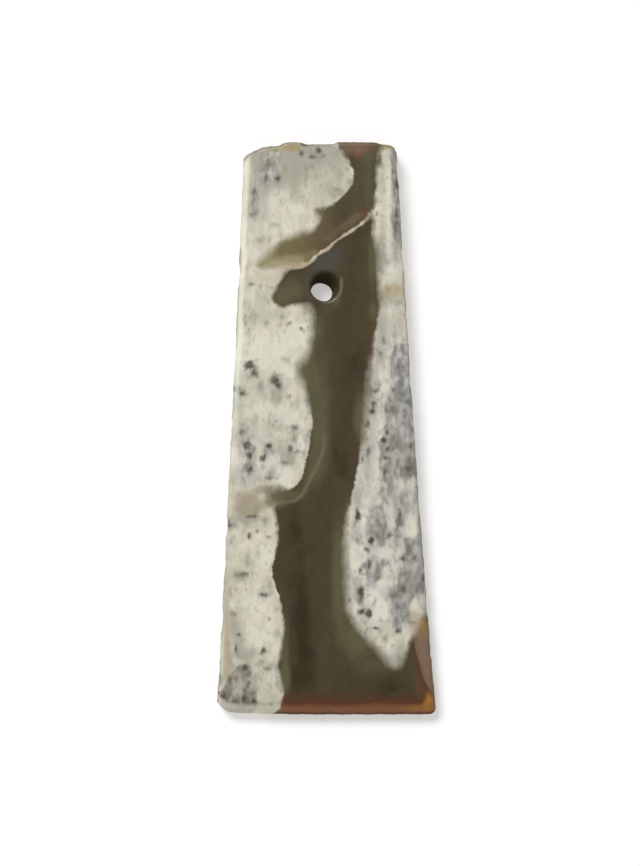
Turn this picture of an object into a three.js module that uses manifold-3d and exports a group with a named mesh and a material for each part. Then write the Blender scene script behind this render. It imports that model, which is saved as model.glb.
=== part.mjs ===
// A flat stone axe head of mottled jade: a long trapezoidal blade, wider at the cutting edge than
// at the butt, with one slanting hole drilled near the butt for the lashing that held it in a haft.
//
// Millimetres, +Z up. The blade lies on its underside. The origin is the middle of the blade's
// footprint on the ground, +Y runs towards the butt, and +X to the right, seen from above.

import * as THREE from 'three';
import { mergeVertices } from 'three/addons/utils/BufferGeometryUtils.js';
import Module from 'manifold-3d';

// Plan of the blade
const bladeLength = 180;
const buttY = bladeLength / 2;
const edgeY = -bladeLength / 2;
const leftAtButt = -25.95;
const leftAtEdge = -34.3;
const rightAtButt = 22.2;
const rightAtEdge = 34.5;
const leftHollow = 0.25;
const rightHollow = 0.65;

// Thickness: full from the butt past the hole, thinner towards the cutting edge
const fullThickness = 8;
const edgeEndThickness = 6.3;
const taperStartY = 22;
const taperEndY = -84;
const crownHalfFlat = 12;
const crownDrop = 0.35;

// Underside: flat where the blade rests, drawn up a little towards the cutting edge
const restStartY = -46;
const undersideLift = 0.5;

// Ground bevels along the two long sides, width by depth
const leftBevelWide = 2.3;
const leftBevelNarrow = 1.1;
const leftBevelDepth = 1.1;
const leftBevelFadeY = [-5, 45];
const rightBevel = { width: 1, depth: 0.8 };
const lowerBevel = { width: 1.1, depth: 0.7 };

// Cutting edge, ground from both faces, and the softened butt
const edgeBevelWidth = 3.7;
const edgeMiddleZ = 3.6;
const edgeLand = 0.5;
const buttBevel = { width: 1.2, depth: 0.7 };

// Worn butt line: how far the end has gone below full length, from left to right
const buttWear = [
  [-26.0, 5.2],
  [-24.1, 3.7],
  [-20.3, 1.7],
  [-15.0, 1.2],
  [-13.4, 0.3],
  [-7.7, 0.2],
  [-6.5, 0.7],
  [2.4, 0.7],
  [3.6, 0],
  [15.8, 0],
  [17.2, 0.6],
  [20.8, 1.2],
  [22.0, 2.8],
];

// Cutting edge line: nearly straight, its left corner broken off and its right corner rounded
const edgeRise = { left: 0.85, right: 0.1 };
const leftCornerCut = { width: 4.6, height: 3.2 };
const rightCornerRound = { width: 1.8, height: 2.6 };

// Small old bruises along the two long sides: place along the blade, half length and depth
const leftNicks = [
  { y: 53, half: 5, depth: 0.35 },
  { y: 27, half: 6, depth: 0.3 },
  { y: -30, half: 4, depth: 0.25 },
  { y: -43, half: 5, depth: 0.25 },
  { y: -62, half: 7, depth: 0.3 },
  { y: -77, half: 8, depth: 0.25 },
];
const rightNicks = [
  { y: 84, half: 5, depth: 0.35 },
  { y: 58, half: 4, depth: 0.3 },
  { y: 18, half: 6, depth: 0.3 },
  { y: -22, half: 5, depth: 0.25 },
  { y: -55, half: 5, depth: 0.3 },
];

// Lashing hole, drilled from the upper face on a slant and opened a little from below.
// Its waist is slightly oval, and the angle is that of the oval's long axis.
const holeX = -0.3;
const holeY = 44.5;
const mouthRadius = 4.6;
const rimRadius = 5.3;
const rimDepth = 0.6;
const waistRadius = 3.1;
const waistZ = 1.3;
const waistOval = 0.11;
const waistAngle = THREE.MathUtils.degToRad(-38);
const lowerMouthRadius = 3.9;
const drillShiftX = -1.4;
const drillShiftY = -1.5;
const drillOverrun = 2;
const flareAbove = 1.2;
const flareBelow = 0.6;
const holeSides = 48;

// Facets: rows along the blade and columns across it, between the bevels
const rowCount = 46;
const columnCount = 22;

const clamp01 = (t) => Math.min(1, Math.max(0, t));
const smooth = (t) => clamp01(t) ** 2 * (3 - 2 * clamp01(t));
const mix = (a, b, t) => a + (b - a) * t;
const alongBlade = (y) => (buttY - y) / bladeLength;

function nickDepth(nicks, y) {
  let depth = 0;
  for (const nick of nicks) {
    depth += nick.depth * smooth(1 - Math.abs(y - nick.y) / nick.half);
  }
  return depth;
}

function leftSide(y) {
  const t = alongBlade(y);
  const hollow = leftHollow * Math.sin(Math.PI * t);
  return mix(leftAtButt, leftAtEdge, t) + hollow + nickDepth(leftNicks, y);
}

function rightSide(y) {
  const t = alongBlade(y);
  const hollow = rightHollow * Math.sin(Math.PI * t);
  return mix(rightAtButt, rightAtEdge, t) - hollow - nickDepth(rightNicks, y);
}

function buttLine(x) {
  const last = buttWear.length - 1;
  let i = 0;
  while (i < last - 1 && x > buttWear[i + 1][0]) {
    i += 1;
  }
  const [x0, wear0] = buttWear[i];
  const [x1, wear1] = buttWear[i + 1];
  return buttY - mix(wear0, wear1, clamp01((x - x0) / (x1 - x0)));
}

function edgeLine(x) {
  const rise = (x < 0 ? edgeRise.left : edgeRise.right) * (x / rightAtEdge) ** 2;
  const intoLeft = clamp01(1 - (x - leftAtEdge) / leftCornerCut.width);
  const intoRight = clamp01(1 - (rightAtEdge - x) / rightCornerRound.width);
  const leftCut = leftCornerCut.height * intoLeft ** 2;
  const rightCut = rightCornerRound.height * (1 - Math.sqrt(1 - intoRight ** 2));
  return edgeY + rise + leftCut + rightCut;
}

// How far a ground bevel has gone down at a distance from its edge
function bevelDrop(distance, bevel) {
  return bevel.depth * clamp01(1 - distance / bevel.width);
}

function leftBevelAt(y) {
  const [fadeLow, fadeHigh] = leftBevelFadeY;
  const width = mix(leftBevelNarrow, leftBevelWide, smooth((y - fadeLow) / (fadeHigh - fadeLow)));
  return { width, depth: leftBevelDepth * (width / leftBevelWide) };
}

function upperFace(x, y) {
  const thinning = smooth((taperStartY - y) / (taperStartY - taperEndY));
  const halfWidth = (rightSide(y) - leftSide(y)) / 2;
  const middleX = (rightSide(y) + leftSide(y)) / 2;
  const outward = clamp01((Math.abs(x - middleX) - crownHalfFlat) / (halfWidth - crownHalfFlat));
  return mix(fullThickness, edgeEndThickness, thinning) - crownDrop * outward ** 2;
}

function upperHeight(x, y) {
  const face = upperFace(x, y);
  const edgeDepth = face - edgeMiddleZ - edgeLand / 2;
  return face - Math.max(
    bevelDrop(x - leftSide(y), leftBevelAt(y)),
    bevelDrop(rightSide(y) - x, rightBevel),
    bevelDrop(buttLine(x) - y, buttBevel),
    bevelDrop(y - edgeLine(x), { width: edgeBevelWidth, depth: edgeDepth }),
  );
}

function lowerHeight(x, y) {
  const face = undersideLift * smooth((restStartY - y) / (restStartY - edgeY));
  const edgeDepth = edgeMiddleZ - edgeLand / 2 - face;
  return face + Math.max(
    bevelDrop(x - leftSide(y), lowerBevel),
    bevelDrop(rightSide(y) - x, lowerBevel),
    bevelDrop(buttLine(x) - y, buttBevel),
    bevelDrop(y - edgeLine(x), { width: edgeBevelWidth, depth: edgeDepth }),
  );
}

// Plan position of a grid point. The outermost rows and columns lie on the outline, and the next
// ones follow the inner lines of the bevels, so that every ground facet keeps crisp borders.
function planPoint(row, column) {
  const straightY = mix(edgeY, buttY, row / rowCount);
  const left = leftSide(straightY);
  const right = rightSide(straightY);
  const bevelLeft = left + leftBevelAt(straightY).width;
  const bevelRight = right - rightBevel.width;
  let x = mix(bevelLeft, bevelRight, (column - 1) / (columnCount - 2));
  if (column === 0) {
    x = left;
  }
  if (column === columnCount) {
    x = right;
  }
  if (column === columnCount - 1) {
    x = bevelRight;
  }
  const top = buttLine(x);
  const bottom = edgeLine(x);
  const innerTop = top - buttBevel.width;
  const innerBottom = bottom + edgeBevelWidth;
  let y = mix(innerBottom, innerTop, (row - 1) / (rowCount - 2));
  if (row === 0) {
    y = bottom;
  }
  if (row === rowCount) {
    y = top;
  }
  return [x, y];
}

function pushQuad(triangles, a, b, c, d) {
  triangles.push(a, b, c);
  triangles.push(a, c, d);
}

// The whole blade as one closed grid: an upper sheet, a lower sheet and the wall between them
function bladeGeometry() {
  const perRow = columnCount + 1;
  const sheetSize = perRow * (rowCount + 1);
  const upper = [];
  const lower = [];
  for (let row = 0; row <= rowCount; row += 1) {
    for (let column = 0; column <= columnCount; column += 1) {
      const [x, y] = planPoint(row, column);
      upper.push(x, y, upperHeight(x, y));
      lower.push(x, y, lowerHeight(x, y));
    }
  }
  const at = (row, column) => row * perRow + column;
  const below = (row, column) => sheetSize + at(row, column);
  const triangles = [];
  for (let row = 0; row < rowCount; row += 1) {
    for (let column = 0; column < columnCount; column += 1) {
      const up = row + 1;
      const across = column + 1;
      pushQuad(triangles, at(row, column), at(row, across), at(up, across), at(up, column));
      pushQuad(triangles, below(row, column), below(up, column), below(up, across), below(row, across));
    }
  }
  for (let column = 0; column < columnCount; column += 1) {
    const next = column + 1;
    pushQuad(triangles, below(0, column), below(0, next), at(0, next), at(0, column));
    const last = rowCount;
    pushQuad(triangles, below(last, next), below(last, column), at(last, column), at(last, next));
  }
  for (let row = 0; row < rowCount; row += 1) {
    const next = row + 1;
    pushQuad(triangles, below(next, 0), below(row, 0), at(row, 0), at(next, 0));
    const last = columnCount;
    pushQuad(triangles, below(row, last), below(next, last), at(next, last), at(row, last));
  }
  const geometry = new THREE.BufferGeometry();
  geometry.setAttribute('position', new THREE.Float32BufferAttribute([...upper, ...lower], 3));
  geometry.setIndex(triangles);
  return geometry;
}

// How much of the waist's oval the hole has at a height: all at the waist, none at the two mouths
function waistShare(z) {
  return z < waistZ ? clamp01(z / waistZ) : clamp01((fullThickness - z) / (fullThickness - waistZ));
}

// The drill's shape: a cone that narrows downwards, a worn rim above and a short flare below,
// sheared sideways because the hole was drilled on a slant
function drillGeometry() {
  const profile = [
    new THREE.Vector2(0, -drillOverrun),
    new THREE.Vector2(lowerMouthRadius + flareBelow, -drillOverrun),
    new THREE.Vector2(lowerMouthRadius, 0),
    new THREE.Vector2(waistRadius, waistZ),
    new THREE.Vector2(mouthRadius, fullThickness - rimDepth),
    new THREE.Vector2(rimRadius, fullThickness),
    new THREE.Vector2(rimRadius + flareAbove, fullThickness + drillOverrun),
    new THREE.Vector2(0, fullThickness + drillOverrun),
  ];
  const geometry = new THREE.LatheGeometry(profile, holeSides);
  geometry.rotateX(Math.PI / 2);
  const points = geometry.attributes.position;
  for (let i = 0; i < points.count; i += 1) {
    const x = points.getX(i);
    const y = points.getY(i);
    const z = points.getZ(i);
    const angle = Math.atan2(y, x) - waistAngle;
    const stretch = 1 + waistOval * waistShare(z) * Math.cos(2 * angle);
    const depth = (fullThickness - z) / fullThickness;
    points.setX(i, x * stretch + holeX + drillShiftX * depth);
    points.setY(i, y * stretch + holeY + drillShiftY * depth);
  }
  return geometry;
}

const wasm = await Module();
wasm.setup();

function toSolid(geometry) {
  geometry.deleteAttribute('normal');
  geometry.deleteAttribute('uv');
  const merged = mergeVertices(geometry);
  return new wasm.Manifold(new wasm.Mesh({
    numProp: 3,
    vertProperties: new Float32Array(merged.attributes.position.array),
    triVerts: new Uint32Array(merged.index.array),
  }));
}

function toGeometry(solid) {
  const mesh = solid.getMesh();
  const geometry = new THREE.BufferGeometry();
  geometry.setAttribute('position', new THREE.BufferAttribute(mesh.vertProperties, 3));
  geometry.setIndex(new THREE.BufferAttribute(mesh.triVerts, 1));
  geometry.computeVertexNormals();
  return geometry;
}

const blade = toSolid(bladeGeometry());
const drill = toSolid(drillGeometry());

const stone = new THREE.MeshStandardMaterial({ color: 0x9c9682, roughness: 0.4, metalness: 0 });
const axeHead = new THREE.Mesh(toGeometry(blade.subtract(drill)), stone);
axeHead.name = 'axe_head';

const part = new THREE.Group();
part.add(axeHead);

export default part;
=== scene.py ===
import math

import bpy
import numpy as np
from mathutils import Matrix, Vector


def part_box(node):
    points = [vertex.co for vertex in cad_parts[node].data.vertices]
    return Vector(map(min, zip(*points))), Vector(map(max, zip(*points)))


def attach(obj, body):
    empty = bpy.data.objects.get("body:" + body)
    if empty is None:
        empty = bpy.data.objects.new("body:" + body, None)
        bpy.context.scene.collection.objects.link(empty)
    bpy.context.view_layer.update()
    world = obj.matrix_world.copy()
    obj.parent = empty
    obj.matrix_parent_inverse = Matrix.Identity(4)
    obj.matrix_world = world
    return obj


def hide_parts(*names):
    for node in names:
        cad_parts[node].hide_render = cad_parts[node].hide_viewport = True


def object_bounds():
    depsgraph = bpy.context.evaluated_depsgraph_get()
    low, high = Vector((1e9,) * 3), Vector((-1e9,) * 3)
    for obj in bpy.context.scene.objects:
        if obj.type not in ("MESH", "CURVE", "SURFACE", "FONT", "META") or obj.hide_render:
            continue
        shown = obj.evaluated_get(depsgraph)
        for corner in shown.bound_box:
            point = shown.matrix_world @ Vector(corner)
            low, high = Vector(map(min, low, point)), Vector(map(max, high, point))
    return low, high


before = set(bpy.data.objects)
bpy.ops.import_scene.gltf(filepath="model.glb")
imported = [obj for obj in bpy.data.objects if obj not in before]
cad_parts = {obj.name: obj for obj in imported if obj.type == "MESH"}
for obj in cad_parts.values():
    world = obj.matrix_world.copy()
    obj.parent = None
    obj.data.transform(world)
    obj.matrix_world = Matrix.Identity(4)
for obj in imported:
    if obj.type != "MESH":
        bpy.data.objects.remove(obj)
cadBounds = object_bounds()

# A flat axe head of mottled jade, lying on its underside. Its form and markings are worked out in
# millimetres on the CAD node's box and turned into metres when a mesh is made.
mm = 0.001
low, high = (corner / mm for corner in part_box("axe_head"))

blade = {
    "buttY": high.y,
    "edgeY": low.y,
    "fullThickness": high.z - low.z,
    "leftAtButt": low.x + 8.35,
    "leftAtEdge": low.x,
    "rightAtButt": high.x - 12.3,
    "rightAtEdge": high.x,
    "leftHollow": 0.25,
    "rightHollow": 0.65,
    "edgeEndThickness": 6.3,
    "taperStartY": 22,
    "taperEndY": -84,
    "crownHalfFlat": 12,
    "crownDrop": 0.45,
    "restStartY": -46,
    "undersideLift": 0.5,
    "meshStep": 0.545,
    "wallRows": 6,
    "wallBulge": 0.12,
    "firmThickness": 4,
}

# Ground bevels: width, depth and how much they are rounded over (1 is flat)
bevels = {
    "leftWide": 2.5,
    "leftNarrow": 1.3,
    "leftDepth": 1.15,
    "leftFadeY": (-5, 45),
    "right": (1.1, 0.8, 1.6),
    "lower": (1.1, 0.7, 1.6),
    "butt": (1.3, 0.7, 1.5),
    "edgeWidth": 3.9,
    "edgeRounding": 1.35,
    "edgeMiddleZ": 3.6,
    "edgeLand": 0.36,
}

# How far the worn butt has gone below full length, from left to right
buttWear = (
    (-26.0, 5.4), (-25.2, 4.3), (-24.1, 3.6), (-22.2, 2.6), (-20.3, 1.7), (-17.6, 1.3), (-15.0, 1.15),
    (-14.2, 0.8), (-13.4, 0.3), (-11.0, 0.0), (-7.7, 0.15), (-7.0, 0.5), (-6.3, 0.75), (-2.0, 0.7),
    (2.2, 0.65), (2.9, 0.3), (3.6, 0.0), (10.0, 0.0), (15.6, 0.05), (16.5, 0.45), (17.2, 0.6),
    (20.6, 1.1), (21.5, 1.9), (22.1, 3.4),
)
edgeCorners = {
    "leftRise": 0.85,
    "rightRise": 0.1,
    "leftWidth": 4.6,
    "leftHeight": 3.2,
    "rightWidth": 1.8,
    "rightHeight": 2.6,
    "setBack": 0.08,
}

# Old bruises along the long sides: place along the blade, half length, depth
leftNicks = (
    (53, 5, 0.35), (49, 1.6, 0.25), (27, 6, 0.3), (4, 2, 0.2), (-30, 4, 0.25), (-43, 5, 0.25),
    (-62, 7, 0.3), (-77, 8, 0.25),
)
rightNicks = (
    (84, 5, 0.35), (58, 4, 0.3), (38, 2, 0.2), (18, 6, 0.3), (-22, 5, 0.25), (-55, 5, 0.3),
    (-71, 2, 0.2),
)

# Slight unevenness of each border: how far it goes, how quickly it turns and where it starts
wavers = {
    "side": ((0.05, 0.61, 1), (0.035, 1.37, 2)),
    "butt": ((0.07, 2.9, 0), (0.05, 5.3, 1)),
    "edge": ((0.05, 0.8, 0.5), (0.03, 2.3, 0)),
}

hole = {
    "x": -0.3,
    "y": 44.5,
    "patch": 8.6,
    "patchRings": 8,
    "rimRadius": 5.45,
    "rimDrop": 0.8,
    "mouthRadius": 4.45,
    "waistRadius": 3.0,
    "waistZ": 1.3,
    "waistOval": 0.1,
    "waistAngle": math.radians(-20),
    "lowerMouthRadius": 3.9,
    "shiftX": -1.4,
    "shiftY": -1.85,
    "grooveDepth": 0.018,
    "groovePitch": 0.85,
    "rimOverhang": 0.25,
    "rimRounding": 1.1,
    "flareRounding": 1.5,
    "rimSteps": 7,
    "wallSteps": 26,
    "flareSteps": 7,
}


def smooth(t):
    t = np.clip(t, 0, 1)
    return t * t * (3 - 2 * t)


def mix(a, b, t):
    return a + (b - a) * t


def waver(name, along, turn=1):
    return sum(reach * np.sin(along * pace + start * turn) for reach, pace, start in wavers[name])


def nickDepth(nicks, y):
    return sum(depth * smooth(1 - np.abs(y - place) / half) for place, half, depth in nicks)


def sideLine(y, atButt, atEdge, hollow, nicks, inward):
    t = (blade["buttY"] - y) / (blade["buttY"] - blade["edgeY"])
    bow = hollow * np.sin(math.pi * np.clip(t, 0, 1))
    return mix(atButt, atEdge, t) + inward * (bow + nickDepth(nicks, y) + waver("side", y, inward))


def leftSide(y):
    return sideLine(y, blade["leftAtButt"], blade["leftAtEdge"], blade["leftHollow"], leftNicks, 1)


def rightSide(y):
    return sideLine(y, blade["rightAtButt"], blade["rightAtEdge"], blade["rightHollow"], rightNicks, -1)


def buttLine(x):
    places, lost = zip(*buttWear)
    return blade["buttY"] - np.interp(x, places, lost) - np.abs(waver("butt", x))


def edgeLine(x):
    cornerRise = np.where(x < 0, edgeCorners["leftRise"], edgeCorners["rightRise"])
    rise = cornerRise * (x / blade["rightAtEdge"]) ** 2
    intoLeft = np.clip(1 - (x - blade["leftAtEdge"]) / edgeCorners["leftWidth"], 0, 1)
    intoRight = np.clip(1 - (blade["rightAtEdge"] - x) / edgeCorners["rightWidth"], 0, 1)
    leftCut = edgeCorners["leftHeight"] * intoLeft ** 2
    rightCut = edgeCorners["rightHeight"] * (1 - np.sqrt(1 - intoRight ** 2))
    return blade["edgeY"] + edgeCorners["setBack"] + rise + leftCut + rightCut + waver("edge", x)


def bevelDrop(distance, width, depth, rounding):
    return depth * np.clip(1 - distance / width, 0, 1) ** rounding


def leftBevelWidth(y):
    fadeLow, fadeHigh = bevels["leftFadeY"]
    return mix(bevels["leftNarrow"], bevels["leftWide"], smooth((y - fadeLow) / (fadeHigh - fadeLow)))


def upperHeight(x, y):
    thinning = smooth((blade["taperStartY"] - y) / (blade["taperStartY"] - blade["taperEndY"]))
    left, right = leftSide(y), rightSide(y)
    beyondFlat = np.abs(x - (left + right) / 2) - blade["crownHalfFlat"]
    outward = beyondFlat / ((right - left) / 2 - blade["crownHalfFlat"])
    face = mix(blade["fullThickness"], blade["edgeEndThickness"], thinning)
    face = face - blade["crownDrop"] * np.clip(outward, 0, 1) ** 2
    edgeDepth = face - bevels["edgeMiddleZ"] - bevels["edgeLand"] / 2
    width = leftBevelWidth(y)
    drops = (
        bevelDrop(x - left, width, bevels["leftDepth"] * width / bevels["leftWide"], 1.5),
        bevelDrop(right - x, *bevels["right"]),
        bevelDrop(buttLine(x) - y, *bevels["butt"]),
        bevelDrop(y - edgeLine(x), bevels["edgeWidth"], edgeDepth, bevels["edgeRounding"]),
    )
    return face - np.maximum.reduce(drops)


def lowerHeight(x, y):
    lift = smooth((blade["restStartY"] - y) / (blade["restStartY"] - blade["edgeY"]))
    face = blade["undersideLift"] * lift
    edgeDepth = bevels["edgeMiddleZ"] - bevels["edgeLand"] / 2 - face
    drops = (
        bevelDrop(x - leftSide(y), *bevels["lower"]),
        bevelDrop(rightSide(y) - x, *bevels["lower"]),
        bevelDrop(buttLine(x) - y, *bevels["butt"]),
        bevelDrop(y - edgeLine(x), bevels["edgeWidth"], edgeDepth, bevels["edgeRounding"]),
    )
    return face + np.maximum.reduce(drops)


# Steps in from each border, closer together where the stone turns over into a bevel
leftSteps = np.array((0, 0.25, 0.55, 0.9, 1.3, 1.75, 2.2, 2.6))
rightSteps = np.array((0, 0.2, 0.45, 0.75, 1.1, 1.5))
edgeSteps = np.array((0, 0.12, 0.3, 0.6, 1.0, 1.5, 2.0, 2.5, 3.0, 3.5, 4.0))
buttSteps = np.array((0, 0.2, 0.45, 0.75, 1.1, 1.5))


def spread(count):
    return np.linspace(0, 1, count + 2)[1:-1]


def gridPoints():
    step = blade["meshStep"]
    columnCount = int((blade["rightAtEdge"] - blade["leftAtEdge"] - 8) / step)
    rowCount = int((blade["buttY"] - blade["edgeY"]) / step)
    rowShare = spread(rowCount)
    straightRows = np.concatenate((
        blade["edgeY"] + edgeSteps,
        mix(blade["edgeY"] + edgeSteps[-1], blade["buttY"] - buttSteps[-1], rowShare),
        (blade["buttY"] - buttSteps)[::-1],
    ))
    left, right = leftSide(straightRows)[:, None], rightSide(straightRows)[:, None]
    leftScale = (leftBevelWidth(straightRows) / bevels["leftWide"])[:, None]
    innerLeft = left + leftSteps[-1] * leftScale
    innerRight = right - rightSteps[-1]
    x = np.hstack((
        left + leftSteps * leftScale,
        mix(innerLeft, innerRight, spread(columnCount)),
        (right - rightSteps)[:, ::-1],
    ))
    bottom, top = edgeLine(x), buttLine(x)
    middle = slice(len(edgeSteps), len(edgeSteps) + rowCount)
    y = np.empty_like(x)
    y[:len(edgeSteps)] = bottom[:len(edgeSteps)] + edgeSteps[:, None]
    y[-len(buttSteps):] = top[-len(buttSteps):] - buttSteps[::-1, None]
    y[middle] = mix(bottom[middle] + edgeSteps[-1], top[middle] - buttSteps[-1], rowShare[:, None])
    return x, y


def blockLoop(index, rowLow, rowHigh, columnLow, columnHigh):
    # The vertices round a block of cells, counter-clockwise seen from above
    loop = [(rowLow, c) for c in range(columnLow, columnHigh)]
    loop += [(r, columnHigh) for r in range(rowLow, rowHigh)]
    loop += [(rowHigh, c) for c in range(columnHigh, columnLow, -1)]
    loop += [(r, columnLow) for r in range(rowHigh, rowLow, -1)]
    rows, columns = np.array(loop).T
    return index[rows, columns]


def boreRings(angles):
    # The hole's wall from the worn rim above to the rounded mouth below
    full = blade["fullThickness"]
    profile = []
    for t in np.linspace(0, 1, hole["rimSteps"]):
        turn = t * math.pi / 2
        radius = mix(hole["mouthRadius"], hole["rimRadius"] + hole["rimOverhang"], 1 - math.sin(turn))
        profile.append((radius, full - hole["rimDrop"] * (1 - math.cos(turn)) ** hole["rimRounding"]))
    topWall = full - hole["rimDrop"]
    for z in np.linspace(topWall, hole["waistZ"], hole["wallSteps"])[1:]:
        t = (topWall - z) / (topWall - hole["waistZ"])
        groove = hole["grooveDepth"] * math.sin(2 * math.pi * z / hole["groovePitch"])
        slant = mix(hole["mouthRadius"], hole["waistRadius"], t)
        profile.append((slant + groove * math.sin(math.pi * t), z))
    for t in np.linspace(0, 1, hole["flareSteps"])[1:]:
        flare = mix(hole["waistRadius"], hole["lowerMouthRadius"], t ** hole["flareRounding"])
        profile.append((flare, hole["waistZ"] * (1 - t)))
    rings = []
    for radius, z in profile:
        depth = (full - z) / full
        oval = hole["waistOval"] * min(z / hole["waistZ"], (full - z) / (full - hole["waistZ"]))
        radii = radius * (1 + oval * np.cos(2 * (angles - hole["waistAngle"])))
        x = hole["x"] + hole["shiftX"] * depth + radii * np.cos(angles)
        y = hole["y"] + hole["shiftY"] * depth + radii * np.sin(angles)
        rings.append(np.column_stack((x, y, np.full_like(x, z))))
    return rings


def ringsAcross(first, last, height):
    # Rings that spread over a face, from one loop to another
    rings = [mix(first, last, t) for t in spread(hole["patchRings"])]
    for ring in rings:
        ring[:, 2] = height(ring[:, 0], ring[:, 1])
    return rings


def wallRings(bottom, top):
    # The wall round the outline, very slightly rounded
    ahead = np.roll(top, -1, axis=0) - np.roll(top, 1, axis=0)
    outwards = np.column_stack((ahead[:, 1], -ahead[:, 0]))
    outwards /= np.hypot(ahead[:, 0], ahead[:, 1])[:, None]
    shares = spread(blade["wallRows"])
    rings = [mix(bottom, top, t) for t in shares]
    for ring, t in zip(rings, shares):
        ring[:, :2] += outwards * blade["wallBulge"] * math.sin(math.pi * t)
    return rings


def buildBladeMesh():
    x, y = gridPoints()
    rows, columns = x.shape
    upper = np.dstack((x, y, upperHeight(x, y))).reshape(-1, 3)
    lower = np.dstack((x, y, lowerHeight(x, y))).reshape(-1, 3)
    index = np.arange(rows * columns).reshape(rows, columns)
    # The block of cells that the hole's rings replace
    middleRow = int(np.argmin(np.abs(y[:, columns // 2] - hole["y"])))
    middleColumn = int(np.argmin(np.abs(x[middleRow] - hole["x"])))
    rowSpan = int(hole["patch"] / blade["meshStep"])
    columnSpan = int(hole["patch"] / (x[middleRow, middleColumn + 1] - x[middleRow, middleColumn]))
    rowLow, rowHigh = middleRow - rowSpan, middleRow + rowSpan
    columnLow, columnHigh = middleColumn - columnSpan, middleColumn + columnSpan
    keep = np.ones((rows - 1, columns - 1), bool)
    keep[rowLow:rowHigh, columnLow:columnHigh] = False
    cells = np.dstack((index[:-1, :-1], index[:-1, 1:], index[1:, 1:], index[1:, :-1]))[keep]
    vertices = [upper, lower]
    faces = [cells, cells[:, ::-1] + len(upper)]

    def addStrip(loop, nextLoop):
        faces.append(np.column_stack((loop, np.roll(loop, -1), np.roll(nextLoop, -1), nextLoop)))

    def bridge(loop, rings, lastLoop):
        # Strips of faces from one loop to another, through the rings between them
        for ring in rings:
            count = sum(len(part) for part in vertices)
            vertices.append(ring)
            nextLoop = np.arange(count, count + len(ring))
            addStrip(loop, nextLoop)
            loop = nextLoop
        addStrip(loop, lastLoop)

    # The hole: rings across the upper face, down the bore and out across the underside
    outer = blockLoop(index, rowLow, rowHigh, columnLow, columnHigh)
    outerX, outerY = upper[outer, 0], upper[outer, 1]
    bore = boreRings(np.arctan2(outerY - hole["y"], outerX - hole["x"]))
    rings = ringsAcross(upper[outer], bore[0], upperHeight)
    rings += bore
    rings += ringsAcross(bore[-1], lower[outer], lowerHeight)
    bridge(outer, rings, outer + len(upper))

    outline = blockLoop(index, 0, rows - 1, 0, columns - 1)
    bridge(outline + len(upper), wallRings(lower[outline], upper[outline]), outline)

    vertices = np.vstack(vertices)
    faces = np.vstack(faces)
    used = np.zeros(len(vertices), bool)
    used[faces] = True
    number = np.cumsum(used) - 1
    mesh = bpy.data.meshes.new("axe_head_stone")
    mesh.from_pydata((vertices[used] * mm).tolist(), [], number[faces].tolist())
    onOutline = np.zeros(len(vertices), bool)
    onOutline[outline] = True
    onOutline[outline + len(upper)] = True
    # Where the stone is ground thin the wear has to stay shallow
    x, y = vertices[:, 0], vertices[:, 1]
    thickness = upperHeight(x, y) - lowerHeight(x, y)
    firmness = np.clip(thickness / blade["firmThickness"], 0.05, 1)
    mark = mesh.attributes.new("wornLine", "BOOLEAN", "POINT")
    mark.data.foreach_set("value", onOutline[used])
    mark = mesh.attributes.new("firmness", "FLOAT", "POINT")
    mark.data.foreach_set("value", firmness[used])
    mesh.polygons.foreach_set("use_smooth", np.ones(len(mesh.polygons), bool))
    mesh.update()
    return mesh


def makeNode(tree, kind, inputs=None, **settings):
    node = tree.nodes.new(kind)
    for name, value in settings.items():
        setattr(node, name, value)
    for name, value in (inputs or {}).items():
        if isinstance(value, bpy.types.NodeSocket):
            tree.links.new(value, node.inputs[name])
        else:
            node.inputs[name].default_value = value
    return node


def mathOf(tree, operation, *values):
    inputs = dict(enumerate(values))
    return makeNode(tree, "ShaderNodeMath", inputs, operation=operation).outputs[0]


def rampOf(tree, value, start, end):
    # 0 at start and 1 at end, eased at both; start may be the higher of the two
    inputs = {"Value": value, "From Min": start, "From Max": end}
    return makeNode(tree, "ShaderNodeMapRange", inputs, interpolation_type="SMOOTHSTEP").outputs[0]


# Wear that follows the surface: bruises knocked out of the borders, and a hand-ground unevenness
wear = {
    "Bruise Spacing": 5.0,
    "Bruise Reach": 1.5,
    "Bruise Depth": 0.22,
    "Relief Depth": 0.16,
    "Relief Size": 11.0,
    "Grain Depth": 0.03,
    "Grain Size": 1.9,
}
wearSeed = 7
smallestReach = 0.35
# The butt is worn harder: by how much more, and from how far in to how far in
buttExtra = 1.8
buttHarderInsets = (7, 2)


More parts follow.
